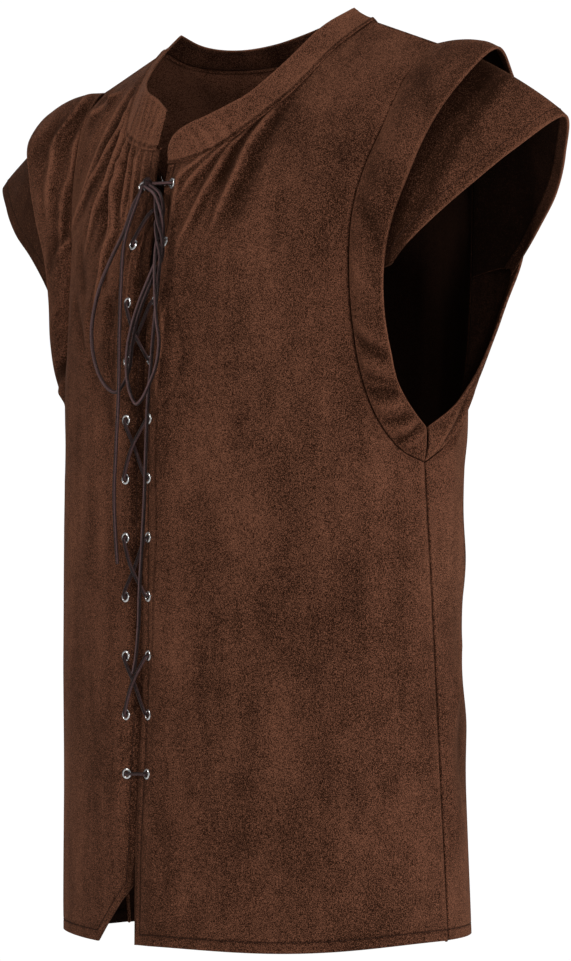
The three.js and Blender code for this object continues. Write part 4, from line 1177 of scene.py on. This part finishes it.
def tier_cloth(creases):
    """An upper tier with its puckers, and the creases that run on from its front."""
    cloth = Cloth(tier_grid(tier_seam, tier_edge, tier_shares, TIER_SWELL))
    first, last, low, high = edge_distances(cloth.grid)
    wide = low + high
    share = low / np.maximum(wide, 1)
    rows, columns = cloth.grid.shape[:2]
    station = np.broadcast_to(stations, (rows, columns))
    height = np.zeros((rows, columns))
    for place, width, ridge in PUCKERS:
        slant = station - PUCKER_SLANT * (share - 0.5)
        height += ridge * np.exp(-(((slant - place) / width) ** 2))
    height *= smooth(share * 3) * smooth((1 - share) * 3.5) * PUCKER_HEIGHT
    crease, painted_light = fold_height(creases, cloth.grid[..., 0], cloth.grid[..., 2], True)
    ahead = smooth((TIER_CREASE_BACK - cloth.grid[..., 1]) / 12)
    ahead = ahead * smooth(low / 3) * smooth(high / 12)
    cloth.lift(height + crease * ahead)
    # Painted light: pucker rises painted paler and their dips darker, the whole tier in painted shade,
    # painted highlights and shade on its creases, and a painted highlight along its edge.
    cloth.nap_shade = np.where(height > 0, 0.25, 0.5) * height - TIER_SHADE
    cloth.nap_shade = cloth.nap_shade + crease_light_and_shade(crease, painted_light) * ahead
    add_seam_roll(cloth, (low, first + 0.6, last + 0.6), 0.9)
    cloth.nap_shade = cloth.nap_shade + EDGE_SHADE * np.exp(-((high / 1.4) ** 2))
    cloth.refresh()
    cloth.turned = smooth((TIER_TURN - high) / TURN_FADE) * smooth((wide - TIER_NARROW) / 8)
    return cloth


along = np.linspace(0, 1, CAP_STEPS + 1)
cap_seam = curve_through(ring_stations(ARMHOLE_FRONT, ARMHOLE_BACK, CAP_START))(along)
cap_upper = curve_through(ring_stations(TIER_FRONT, TIER_BACK, CAP_START))(along)
cap_edge = curve_through(ring_stations(CAP_FRONT, CAP_BACK, 0))(along)


def cap_grid():
    """The lower cap: it follows the tier above it, then turns out to its own edge."""
    below = -grid_normals(np.array([cap_seam, cap_upper]))[0]
    start = cap_seam + (cap_upper - cap_seam) * 0.05 + below * (WALL + CAP_TIER_GAP)
    bend = cap_upper + below * CAP_BELOW
    shares = fine_steps(CAP_DEPTH, CAP_STEP, last=1)
    return np.array([bent(start, bend, cap_edge, t) for t in shares])


def cap_cloth(seed):
    """A lower cap with a little slack painted paler where it rises, painted shade where the tier above
    shades it, and a painted highlight along its edge.
    """
    cloth = Cloth(cap_grid())
    first, last, low, high = edge_distances(cloth.grid)
    slack = soft_noise(cloth.grid, 26, seed) * 0.9 * smooth((low - 25) / 40)
    slack *= smooth(np.minimum(first, last) / 14) * smooth((high + 4) / 18)
    cloth.lift(slack)
    hidden = np.linalg.norm(cap_upper - cap_seam, axis=1)
    below_tier = np.maximum(low - hidden, 0) / (UNDER_TIER_REACH * np.minimum(hidden / 40, 1))
    cloth.nap_shade = slack * 0.3 - UNDER_TIER_SHADE * np.exp(-(below_tier**1.7))
    cloth.nap_shade = cloth.nap_shade + EDGE_SHADE * np.exp(-((high / 1.4) ** 2))
    add_stitch_groove(cloth, high, CAP_TOPSTITCH, 0.25, 0.2)
    cloth.refresh()
    cloth.turned = smooth((HEM_TURN - high) / TURN_FADE)
    return cloth


tier_objects = []
for side_name, tier_creases, cap_seed in (("left", [], 11), ("right", CREASES_TIER_RIGHT, 12)):
    upper, lower = tier_cloth(tier_creases), cap_cloth(cap_seed)
    tier_objects.append([])
    lines = len(STITCH_LINES)
    cap_high = edge_distances(lower.grid)[3]
    sew(lower, cap_high, CAP_TOPSTITCH, 0)
    for name, cloth, node, dark in (
        ("suede_upper_tier", upper, "armhole_band", 0.9),
        ("suede_lower_cap", lower, "cap", 0.86),
    ):
        if side_name == "right":
            cloth.grid = mirrored_grid(cloth.grid)
            cloth.normals = mirrored(cloth.normals)[:, ::-1]
            cloth.nap_shade, cloth.turned = cloth.nap_shade[:, ::-1], cloth.turned[:, ::-1]
            cloth.nap_shade = cloth.nap_shade - (FAR_CAP_SHADE if node == "cap" else 0)
        # The tier and cap insides painted near black as shade, less where a hem is turned.
        inside_shade = np.full(cloth.grid.shape[:2], dark) - 0.35 * cloth.turned
        made = wall_object(f"{name}_{side_name}", cloth, inside_shade)
        finished(made, SUEDE, [f"{node}_{side_name}"])
        tier_objects[-1].append(made)
    if side_name == "right":
        for line in range(lines, len(STITCH_LINES)):
            STITCH_LINES[line] = mirrored(STITCH_LINES[line])

# ---- neckband ----
BAND_FRONT_FINE = 96
BAND_BACK_FINE = 56
BAND_WIDTH = 33
BAND_STEP = 1.6
BAND_TOPSTITCH = 5.5
BAND_REACH = -0.09
BAND_UNDER = -BAND_REACH / (1 - BAND_REACH)


def neckband_grid():
    """The neckband from its seam on the neckline to its upper edge."""

    def half(front, rear):
        ahead, behind = curve_through(front), curve_through(rear)
        return np.vstack([
            ahead(even_shares(ahead, BAND_FRONT_FINE)),
            behind(even_shares(behind, BAND_BACK_FINE))[1:],
        ])

    def whole(left, right):
        return np.vstack([mirrored(right), left[:-1][::-1]])

    seam = whole(half(NECK_LEFT, NECK_BACK), half(NECK_RIGHT, NECK_BACK))
    edge = whole(half(BAND_LEFT, BAND_BACK), half(BAND_RIGHT, BAND_BACK))
    steps = fine_steps(BAND_WIDTH, BAND_STEP, first=1, last=1, border=8, border_step=0.9)
    shares = BAND_REACH + (1 - BAND_REACH) * steps
    return np.array([seam + (edge - seam) * t for t in shares])


# Gathers that run on over the neckband: distance from its end, height.
BAND_GATHERS_RIGHT = [(20, 0.9), (30, 0.8), (41, 1.0), (53, 0.9), (68, 0.8), (84, 0.6)]
BAND_GATHERS_LEFT = [(38, 0.5), (50, 0.7), (64, 0.4)]

band = Cloth(neckband_grid())
first, last, low, high = edge_distances(band.grid)
puff = 0.9 * np.sin(math.pi * np.clip(low / (low + high), 0, 1))
waves = soft_noise(band.grid, 9, 21) * 0.35 * smooth(np.minimum(low, high) / 8)
gather = np.zeros(band.grid.shape[:2])
for distance, places in ((first, BAND_GATHERS_RIGHT), (last, BAND_GATHERS_LEFT)):
    for place, ridge in places:
        offset = (distance - place + 0.35 * low) / 2.4
        gather += ridge * (np.exp(-(offset**2)) - 0.5 * np.exp(-((offset - 2.1) ** 2)))
gather *= smooth(high / 9) * smooth(low / 3)
band.lift(puff + waves + gather * 0.8)
# Painted light: the band's waves and gathers painted paler where they rise and darker where they dip,
# the whole band painted darker, and a painted highlight along its upper edge.
band.nap_shade = waves * 0.4 + gather * 0.9 - 0.55
band.nap_shade = band.nap_shade + EDGE_SHADE * np.exp(-((high / 1.3) ** 2))
add_seam_roll(band, (np.abs(low - BAND_UNDER * (low + high)),))
band_edge = np.minimum(np.minimum(first, last), high)
add_stitch_groove(band, band_edge, BAND_TOPSTITCH, 0.25, 0.12)
band.refresh()
clear_of_ends = np.minimum(first[0], last[0]) > BAND_TOPSTITCH
sew(band, high, BAND_TOPSTITCH, 0, clear_of_ends)
band_inside_shade = np.zeros(band.grid.shape[:2])
band_object = wall_object("suede_neckband", band, band_inside_shade, inner_nap=1.1)
finished(band_object, SUEDE, ["neckband"])

# ---- eyelets ----
EYELET_PROFILE = [
    (2.55, -2.3), (2.45, -0.6), (2.45, 0.4), (2.6, 0.85), (2.95, 1.1), (3.4, 1.12),
    (3.9, 0.9), (4.25, 0.5), (4.4, 0.12), (4.2, 0.05), (3.4, 0.1), (3.15, -0.4), (3.1, -2.3),
]
EYELET_SIDES = 28


def place_on_cloth(cloth, x, z):
    """The point of a front at (x, z), and which way the cloth faces there."""
    grid = cloth.grid
    gap = (grid[..., 0] - x) ** 2 + (grid[..., 2] - z) ** 2
    gap = np.where(grid[..., 1] < 0, gap, 1e9)
    row, column = np.unravel_index(np.argmin(gap), gap.shape)
    point = grid[row, column].copy()
    rows = slice(max(row - 2, 0), row + 3)
    columns = slice(max(column - 3, 0), column + 4)
    facing = unit(cloth.normals[rows, columns].reshape(-1, 3).mean(axis=0))
    point[1] += ((point[0] - x) * facing[0] + (point[2] - z) * facing[2]) / facing[1]
    point[0], point[2] = x, z
    return point, facing


def upright_frame(facing):
    side = unit(np.cross(np.array([0, 0, 1.0]), facing))
    return side, np.cross(facing, side)


def eyelet_object(name, point, facing):
    side, upper = upright_frame(facing)
    points, faces = [], []
    for radius, height in EYELET_PROFILE:
        for step in range(EYELET_SIDES):
            angle = 2 * math.pi * step / EYELET_SIDES
            ring = side * radius * math.cos(angle) + upper * radius * math.sin(angle)
            points.append(point + ring + facing * height)
    count = len(EYELET_PROFILE)
    for k in range(count):
        here, there = k * EYELET_SIDES, (k + 1) % count * EYELET_SIDES
        for step in range(EYELET_SIDES):
            nxt = (step + 1) % EYELET_SIDES
            faces.append((here + step, here + nxt, there + nxt, there + step))
    return mesh_object(name, points, faces)


EYELETS = {"left": [], "right": []}
for side_name, sign in (("left", 1), ("right", -1)):
    for row in range(EYELET_ROWS):
        height = EYELET_TOP - row * EYELET_PITCH
        x = sign * float(table_value(OPENING, EYELET_X, height))
        place = place_on_cloth(fronts[side_name], x, height)
        EYELETS[side_name].append(place)
        node = f"eyelet_{side_name}_{row + 1:02d}"
        finished(eyelet_object(f"nickel_{node}", *place), METAL, [node])

# ---- lace ----
OUTSIDE = 3.2
INSIDE = -7.5
INSIDE_SAG = -11
CROSS_OVER = 2.6
CROSS_UNDER = -1
GAP_SHARE = 0.4
GAP_RUN = 0.1
GAP_HEIGHT = -0.8
LEVEL_SHARE = 0.9
KNOT_PLACE = np.array([-4.8, -112.5, 592.4])
KNOT_RADII = np.array([4.9, 3.9, 4.2])
KNOT_GAP = 1.27
LACING_LEAVES = (0.95, 0.3, 0.05)
LACING_RETURNS = (-0.95, 0.3, -0.1)
BUNDLE_MIDDLE = [
    [12.7, -116, 583], [17.6, -118, 570.5], [21.2, -121, 558], [25.8, -124.5, 545.5],
    [29, -128, 533], [28.8, -131.5, 520.5],
]
BUNDLE_RADIUS = 3
BUNDLE_TURN = -1.1


def bundled(start_angle):
    """One of the strands twisted together below the knot."""
    strand = []
    for row, (x, y, height) in enumerate(BUNDLE_MIDDLE):
        angle = start_angle + row * BUNDLE_TURN
        across, out = BUNDLE_RADIUS * math.cos(angle), BUNDLE_RADIUS * math.sin(angle)
        strand.append([x + across, y - out, height])
    return strand


ROUTES = {
    "lace_loop_right": {
        "leaves": (-0.75, -0.25, -0.75),
        "route": [
            [-15.5, -117, 578], [-20.5, -123, 556], [-31, -130, 531], [-37, -135, 511],
            [-42, -137.6, 487], [-43, -137.6, 472], [-40, -137.6, 457], [-33, -137.6, 443],
            [-23, -137.6, 433], [-12, -137.6, 429], [-3, -137.6, 435], [5, -137.6, 448],
            [8.5, -137.6, 467], [16, -137, 489],
            *bundled(math.pi)[::-1],
        ],
        "returns": (0.62, 0.05, -0.8),
    },
    "lace_loop_left": {
        "leaves": (0.95, -0.35, -0.15),
        "route": [
            *bundled(0),
            [42.5, -141.2, 483], [45.8, -141.2, 466], [42.5, -141.2, 448],
            [33.5, -141.2, 433], [25, -141.2, 422.5], [17.7, -141.2, 418.5],
            [10.8, -141.2, 426], [5.8, -141.2, 442], [6.5, -141.2, 462],
            [11, -141.2, 477], [20.5, -141.2, 496],
            *bundled(math.pi / 2)[::-1],
        ],
        "returns": (0.45, -0.85, -0.4),
    },
    "lace_end_right": {
        "leaves": (-0.35, -0.75, -0.55),
        "route": [
            [-12, -129, 549], [-5.5, -138, 512], [-3.5, -141.2, 472], [-4.5, -141.2, 430],
            [-8, -141.2, 380], [-10, -141.2, 350], [-8.4, -141.2, 318],
            [-6.1, -141.2, 295.5],
        ],
        "returns": None,
    },
    "lace_end_left": {
        "leaves": (0.45, 0.75, -0.4),
        "route": [
            *bundled(-math.pi / 2),
            [30, -134, 475], [26.5, -134, 446], [23, -134, 422], [22, -134.5, 395],
            [21.5, -135.5, 362], [22.2, -137, 340], [21.2, -138, 313], [17.8, -138, 275],
            [16.6, -138, 247], [12.7, -138, 220], [9.7, -138, 209.7],
        ],
        "returns": None,
    },
}
LACE_SIDES = 12
LACE_STEP = 1.6
LACE_FLATTEN = 0.9
LACE_TWIST = 0.05
LACE_TIP = 0.75
LACE_TIP_SCALE = 0.5


def tube_object(name, points, radius=LACE_SEEN_RADIUS, sides=LACE_SIDES):
    """A round lace through the points, with its ends rounded and a UV in millimetres."""
    tangents = unit(np.vstack([
        points[1:2] - points[:1],
        points[2:] - points[:-2],
        points[-1:] - points[-2:-1],
    ]))
    side = np.cross([0, 0, 1.0], tangents[0])
    if np.linalg.norm(side) < 0.1:
        side = np.array([1.0, 0, 0])
    stations, rings, lengths = [], [], []
    travelled = 0.0
    for k, (point, tangent) in enumerate(zip(points, tangents)):
        side = unit(side - tangent * (side @ tangent))
        other = np.cross(tangent, side)
        if k:
            travelled += float(np.linalg.norm(point - points[k - 1]))
        flat = 1 + (LACE_FLATTEN - 1) * math.cos(LACE_TWIST * travelled) ** 2
        stations.append((point, tangent, side, other, flat))
        lengths.append(travelled)
    ends = [(k, 0, 1) for k in range(len(points))]
    ends = [(0, -LACE_TIP, LACE_TIP_SCALE), *ends, (-1, LACE_TIP, LACE_TIP_SCALE)]
    coordinates = []
    for k, beyond, scale in ends:
        point, tangent, side, other, flat = stations[k]
        for corner in range(sides):
            angle = 2 * math.pi * corner / sides
            place = side * math.cos(angle) * flat + other * math.sin(angle) / flat ** 0.5
            rings.append(point + tangent * beyond + place * radius * scale)
            coordinates.append((lengths[k], corner / sides * 2 * math.pi * radius))
    faces = []
    for step in range(len(ends) - 1):
        here, there = step * sides, (step + 1) * sides
        for corner in range(sides):
            nxt = (corner + 1) % sides
            faces.append((here + corner, here + nxt, there + nxt, there + corner))
    last = (len(ends) - 1) * sides
    faces.append(tuple(range(sides - 1, -1, -1)))
    faces.append(tuple(range(last, last + sides)))
    made = mesh_object(name, rings, faces)
    layer = made.data.uv_layers.new(name="UVMap")
    corners = np.empty(len(made.data.loops), int)
    made.data.loops.foreach_get("vertex_index", corners)
    layer.data.foreach_set("uv", np.array(coordinates)[corners].astype(np.float32).ravel())
    return made


def knot_surface(direction):
    """Where a strand leaves the knot, from the direction that it leaves in."""
    return unit(np.array(direction, float)) * KNOT_GAP * KNOT_RADII + KNOT_PLACE


def fine_path(points, step=LACE_STEP):
    curve = curve_through(points)
    length = curve_length(curve(np.linspace(0, 1, 400)))
    return curve(even_shares(curve, max(4, round(length / step))))


def line_between(a, b, share, height):
    """A point between two eyelets, lifted off the cloth."""
    point = a[0] + (b[0] - a[0]) * share
    return point + unit(a[1] + (b[1] - a[1]) * share) * height


def through_eyelet(place, origin, to, from_height, to_height):
    """The lace's points on its way through one eyelet."""
    point, facing = place

    def towards(other, distance, height):
        step = other[0] - point
        step = unit(step - facing * (step @ facing)) * distance
        return point + step + facing * height

    return [
        towards(origin, 4.2, from_height),
        towards(origin, 0.9, from_height * 0.72),
        point - facing * WALL / 2,
        towards(to, 0.9, to_height * 0.72),
        towards(to, 4.2, to_height),
    ]


def lacing_path():
    """Down through the eyelets from the knot, across the last row and up again."""
    left, right = EYELETS["left"], EYELETS["right"]
    visits = []
    for row in range(1, EYELET_ROWS + 1):
        place = (left if row // 2 % 2 == 0 else right)[row - 1]
        visits.append((place, row == 1 or row % 2 == 0, True))
    for row in range(EYELET_ROWS, 0, -1):
        place = (right if row // 2 % 2 == 0 else left)[row - 1]
        visits.append((place, row > 1 and row % 2 == 1, False))
    knot_right = (knot_surface(LACING_LEAVES), None)
    knot_left = (knot_surface(LACING_RETURNS), None)
    points = [knot_right[0]]
    for step, (place, goes_in, is_over) in enumerate(visits):
        origin = visits[step - 1][0] if step else knot_right
        after = visits[step + 1] if step + 1 < len(visits) else None
        to = after[0] if after else knot_left
        heights = (OUTSIDE, INSIDE) if goes_in else (INSIDE, OUTSIDE)
        points += through_eyelet(place, origin, to, *heights)
        if not after:
            continue
        stays_outside = not goes_in and after[1]
        is_bottom_bar = stays_outside and is_over != after[2]
        if goes_in == after[1]:
            next_height = OUTSIDE if after[1] else INSIDE
            before, behind = heights[1] * LEVEL_SHARE, next_height * LEVEL_SHARE
            points.append(line_between(place, to, GAP_SHARE - GAP_RUN, before))
            points.append(line_between(place, to, GAP_SHARE, GAP_HEIGHT))
            points.append(line_between(place, to, GAP_SHARE + GAP_RUN, behind))
        elif stays_outside and not is_bottom_bar:
            lift = OUTSIDE + (CROSS_OVER if is_over else CROSS_UNDER)
            points.append(line_between(place, to, 0.5, lift))
        elif goes_in:
            points.append(line_between(place, to, 0.5, INSIDE_SAG))
    points.append(knot_left[0])
    return points


lacing_object = tube_object("waxed_lacing", fine_path(lacing_path(), 1.3))
finished(lacing_object, LACE, ["lacing"])

# The knot: the lace's own turns round each other, and one turn over them.
KNOT_TURNS = 2.15
knot_share = np.linspace(0, 1, 120)
knot_angle = 2 * math.pi * KNOT_TURNS * knot_share + 0.6
knot_points = KNOT_PLACE + np.stack([
    3.4 * np.cos(knot_angle),
    -2.6 * np.sin(knot_angle) * (0.9 + 0.1 * knot_share),
    -2.6 + 5.2 * knot_share + 0.8 * np.sin(knot_angle * 0.5),
], axis=1)
over_angle = np.linspace(-0.6, math.pi * 2 - 0.6, 60)
over_points = KNOT_PLACE + np.stack([
    1.0 + 1.0 * np.cos(over_angle),
    -3.6 * np.cos(over_angle),
    4.3 * np.sin(over_angle),
], axis=1)
knot_object = tube_object("waxed_knot", knot_points)
knot_over = tube_object("waxed_knot_over", over_points)
finished(knot_object, LACE, ["lace_knot"])
finished(knot_over, LACE)

for name, spec in ROUTES.items():
    ends = [knot_surface(spec["returns"])] if spec["returns"] else []
    route = fine_path([knot_surface(spec["leaves"]), *spec["route"], *ends])
    piece = tube_object(f"waxed_{name}", route)
    finished(piece, LACE, [name])

# ---- seam allowances, rolled inside the neck, shoulder and side seams ----
SEAM_RADIUS = 1.4
for number, line in enumerate(SEAM_LINES):
    seam = tube_object(f"suede_seam_{number + 1}", fine_path(line, 2.6), SEAM_RADIUS, 8)
    paint(seam, "nap_shade", np.full(len(seam.data.vertices), -0.25))
    finished(seam, SUEDE)

# ---- stitching ----


def stitch_tree():
    """Stitches at an even pitch along every sewn line."""
    tree = bpy.data.node_groups.new("row_of_stitches", "GeometryNodeTree")
    tree.interface.new_socket("Lines", in_out="INPUT", socket_type="NodeSocketGeometry")
    for label in STITCH_SIZES:
        tree.interface.new_socket(label, in_out="INPUT", socket_type="NodeSocketFloat")
    tree.interface.new_socket("Stitches", in_out="OUTPUT", socket_type="NodeSocketGeometry")
    nodes, links = tree.nodes, tree.links
    into, out = nodes.new("NodeGroupInput"), nodes.new("NodeGroupOutput")
    lines = nodes.new("GeometryNodeMeshToCurve")
    resample = nodes.new("GeometryNodeResampleCurve")
    resample.mode = "LENGTH"
    tangent = nodes.new("GeometryNodeInputTangent")
    align = nodes.new("FunctionNodeAlignRotationToVector")
    align.axis = "Z"
    drum = nodes.new("GeometryNodeMeshCylinder")
    drum.fill_type = "TRIANGLE_FAN"
    drum.inputs["Vertices"].default_value = 6
    drum.inputs["Side Segments"].default_value = 1
    copies = nodes.new("GeometryNodeInstanceOnPoints")
    real = nodes.new("GeometryNodeRealizeInstances")
    finish = nodes.new("GeometryNodeSetMaterial")
    finish.inputs["Material"].default_value = THREAD
    links.new(into.outputs["Lines"], lines.inputs["Mesh"])
    links.new(lines.outputs["Curve"], resample.inputs["Curve"])
    links.new(into.outputs["Pitch"], resample.inputs["Length"])
    links.new(resample.outputs["Curve"], copies.inputs["Points"])
    links.new(tangent.outputs["Tangent"], align.inputs["Vector"])
    links.new(align.outputs["Rotation"], copies.inputs["Rotation"])
    links.new(into.outputs["Length"], drum.inputs["Depth"])
    links.new(into.outputs["Radius"], drum.inputs["Radius"])
    links.new(drum.outputs["Mesh"], copies.inputs["Instance"])
    links.new(copies.outputs["Instances"], real.inputs["Geometry"])
    links.new(real.outputs["Geometry"], finish.inputs["Geometry"])
    links.new(finish.outputs["Geometry"], out.inputs["Stitches"])
    return tree


def stitch_object(name, lines):
    points, edges = [], []
    for line in lines:
        start = len(points)
        points += to_metres(line).tolist()
        edges += [(start + k, start + k + 1) for k in range(len(line) - 1)]
    mesh = bpy.data.meshes.new(name)
    mesh.from_pydata(points, edges, [])
    made = bpy.data.objects.new(name, mesh)
    bpy.context.scene.collection.objects.link(made)
    tree = stitch_tree()
    modifier = made.modifiers.new("stitches", "NODES")
    modifier.node_group = tree
    for item in tree.interface.items_tree:
        if item.in_out == "INPUT" and item.name in STITCH_SIZES:
            modifier[item.identifier] = STITCH_SIZES[item.name] / 1000
    graph = bpy.context.evaluated_depsgraph_get()
    made.data = bpy.data.meshes.new_from_object(made.evaluated_get(graph))
    made.modifiers.clear()
    made.data.shade_smooth()
    return made


stitches = stitch_object("edge_stitching", [line for line in STITCH_LINES if len(line) > 3])
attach(stitches, "root")

# ---- floor, backdrop and light ----


def plain_material(name, color):
    material, tree, shader = new_material(name)
    shader.inputs["Base Color"].default_value = color
    shader.inputs["Roughness"].default_value = 0.9
    return material


def area_light(name, place, target, size, power, color=(1, 1, 1)):
    light = bpy.data.lights.new(name, "AREA")
    light.shape = "RECTANGLE"
    light.size, light.size_y = size
    light.energy = power
    light.color = color
    made = bpy.data.objects.new(name, light)
    made.location = place
    direction = np.array(target, float) - np.array(place, float)
    yaw = math.atan2(direction[1], direction[0]) - math.pi / 2
    pitch = math.atan2(direction[2], math.hypot(direction[0], direction[1]))
    made.rotation_euler = (math.pi / 2 + pitch, 0, yaw)
    bpy.context.scene.collection.objects.link(made)
    return made


FLOOR_HEIGHT = -1.35
FLOOR_RADIUS = 9
FLOOR_SIDES = 96
floor_mesh = bpy.data.meshes.new("floor")
floor_points = [
    (FLOOR_RADIUS * math.cos(corner), FLOOR_RADIUS * math.sin(corner), FLOOR_HEIGHT)
    for corner in np.linspace(0, 2 * math.pi, FLOOR_SIDES, endpoint=False)
]
floor_mesh.from_pydata(floor_points, [], [tuple(range(FLOOR_SIDES))])
floor = bpy.data.objects.new("floor", floor_mesh)
bpy.context.scene.collection.objects.link(floor)
floor.data.materials.append(plain_material("pale_floor", (0.9, 0.9, 0.9, 1)))

world = bpy.data.worlds.new("studio")
bpy.context.scene.world = world
world.use_nodes = True
AMBIENT = 0.2
BACKDROP = 1.28
sky = world.node_tree
ambient = sky.nodes["Background"]
ambient.inputs["Color"].default_value = (1, 1, 1, 1)
ambient.inputs["Strength"].default_value = AMBIENT
backdrop = sky.nodes.new("ShaderNodeBackground")
backdrop.inputs["Strength"].default_value = BACKDROP
seen = sky.nodes.new("ShaderNodeLightPath")
choice = sky.nodes.new("ShaderNodeMixShader")
sky.links.new(seen.outputs["Is Camera Ray"], choice.inputs["Fac"])
sky.links.new(ambient.outputs["Background"], choice.inputs[1])
sky.links.new(backdrop.outputs["Background"], choice.inputs[2])
sky.links.new(choice.outputs["Shader"], sky.nodes["World Output"].inputs["Surface"])

area_light("key", (-0.9, -3.3, 1.5), (0, 0, -0.3), (0.5, 0.7), 52, (1, 0.98, 0.95))
area_light("fill", (3.6, -1.6, 0.1), (0, 0, -0.35), (1.6, 2.0), 52)
area_light("side", (3.0, 2.4, 0.4), (0, 0, -0.3), (1.3, 2.0), 74)
area_light("top", (0.2, -0.4, 2.7), (0, 0, 0), (1.4, 1.4), 13)
area_light("rim", (-3.0, 1.6, 1.0), (0, 0, -0.2), (1.2, 1.8), 14)

bpy.context.scene.view_settings.view_transform = "Standard"
bpy.context.scene.view_settings.look = "None"
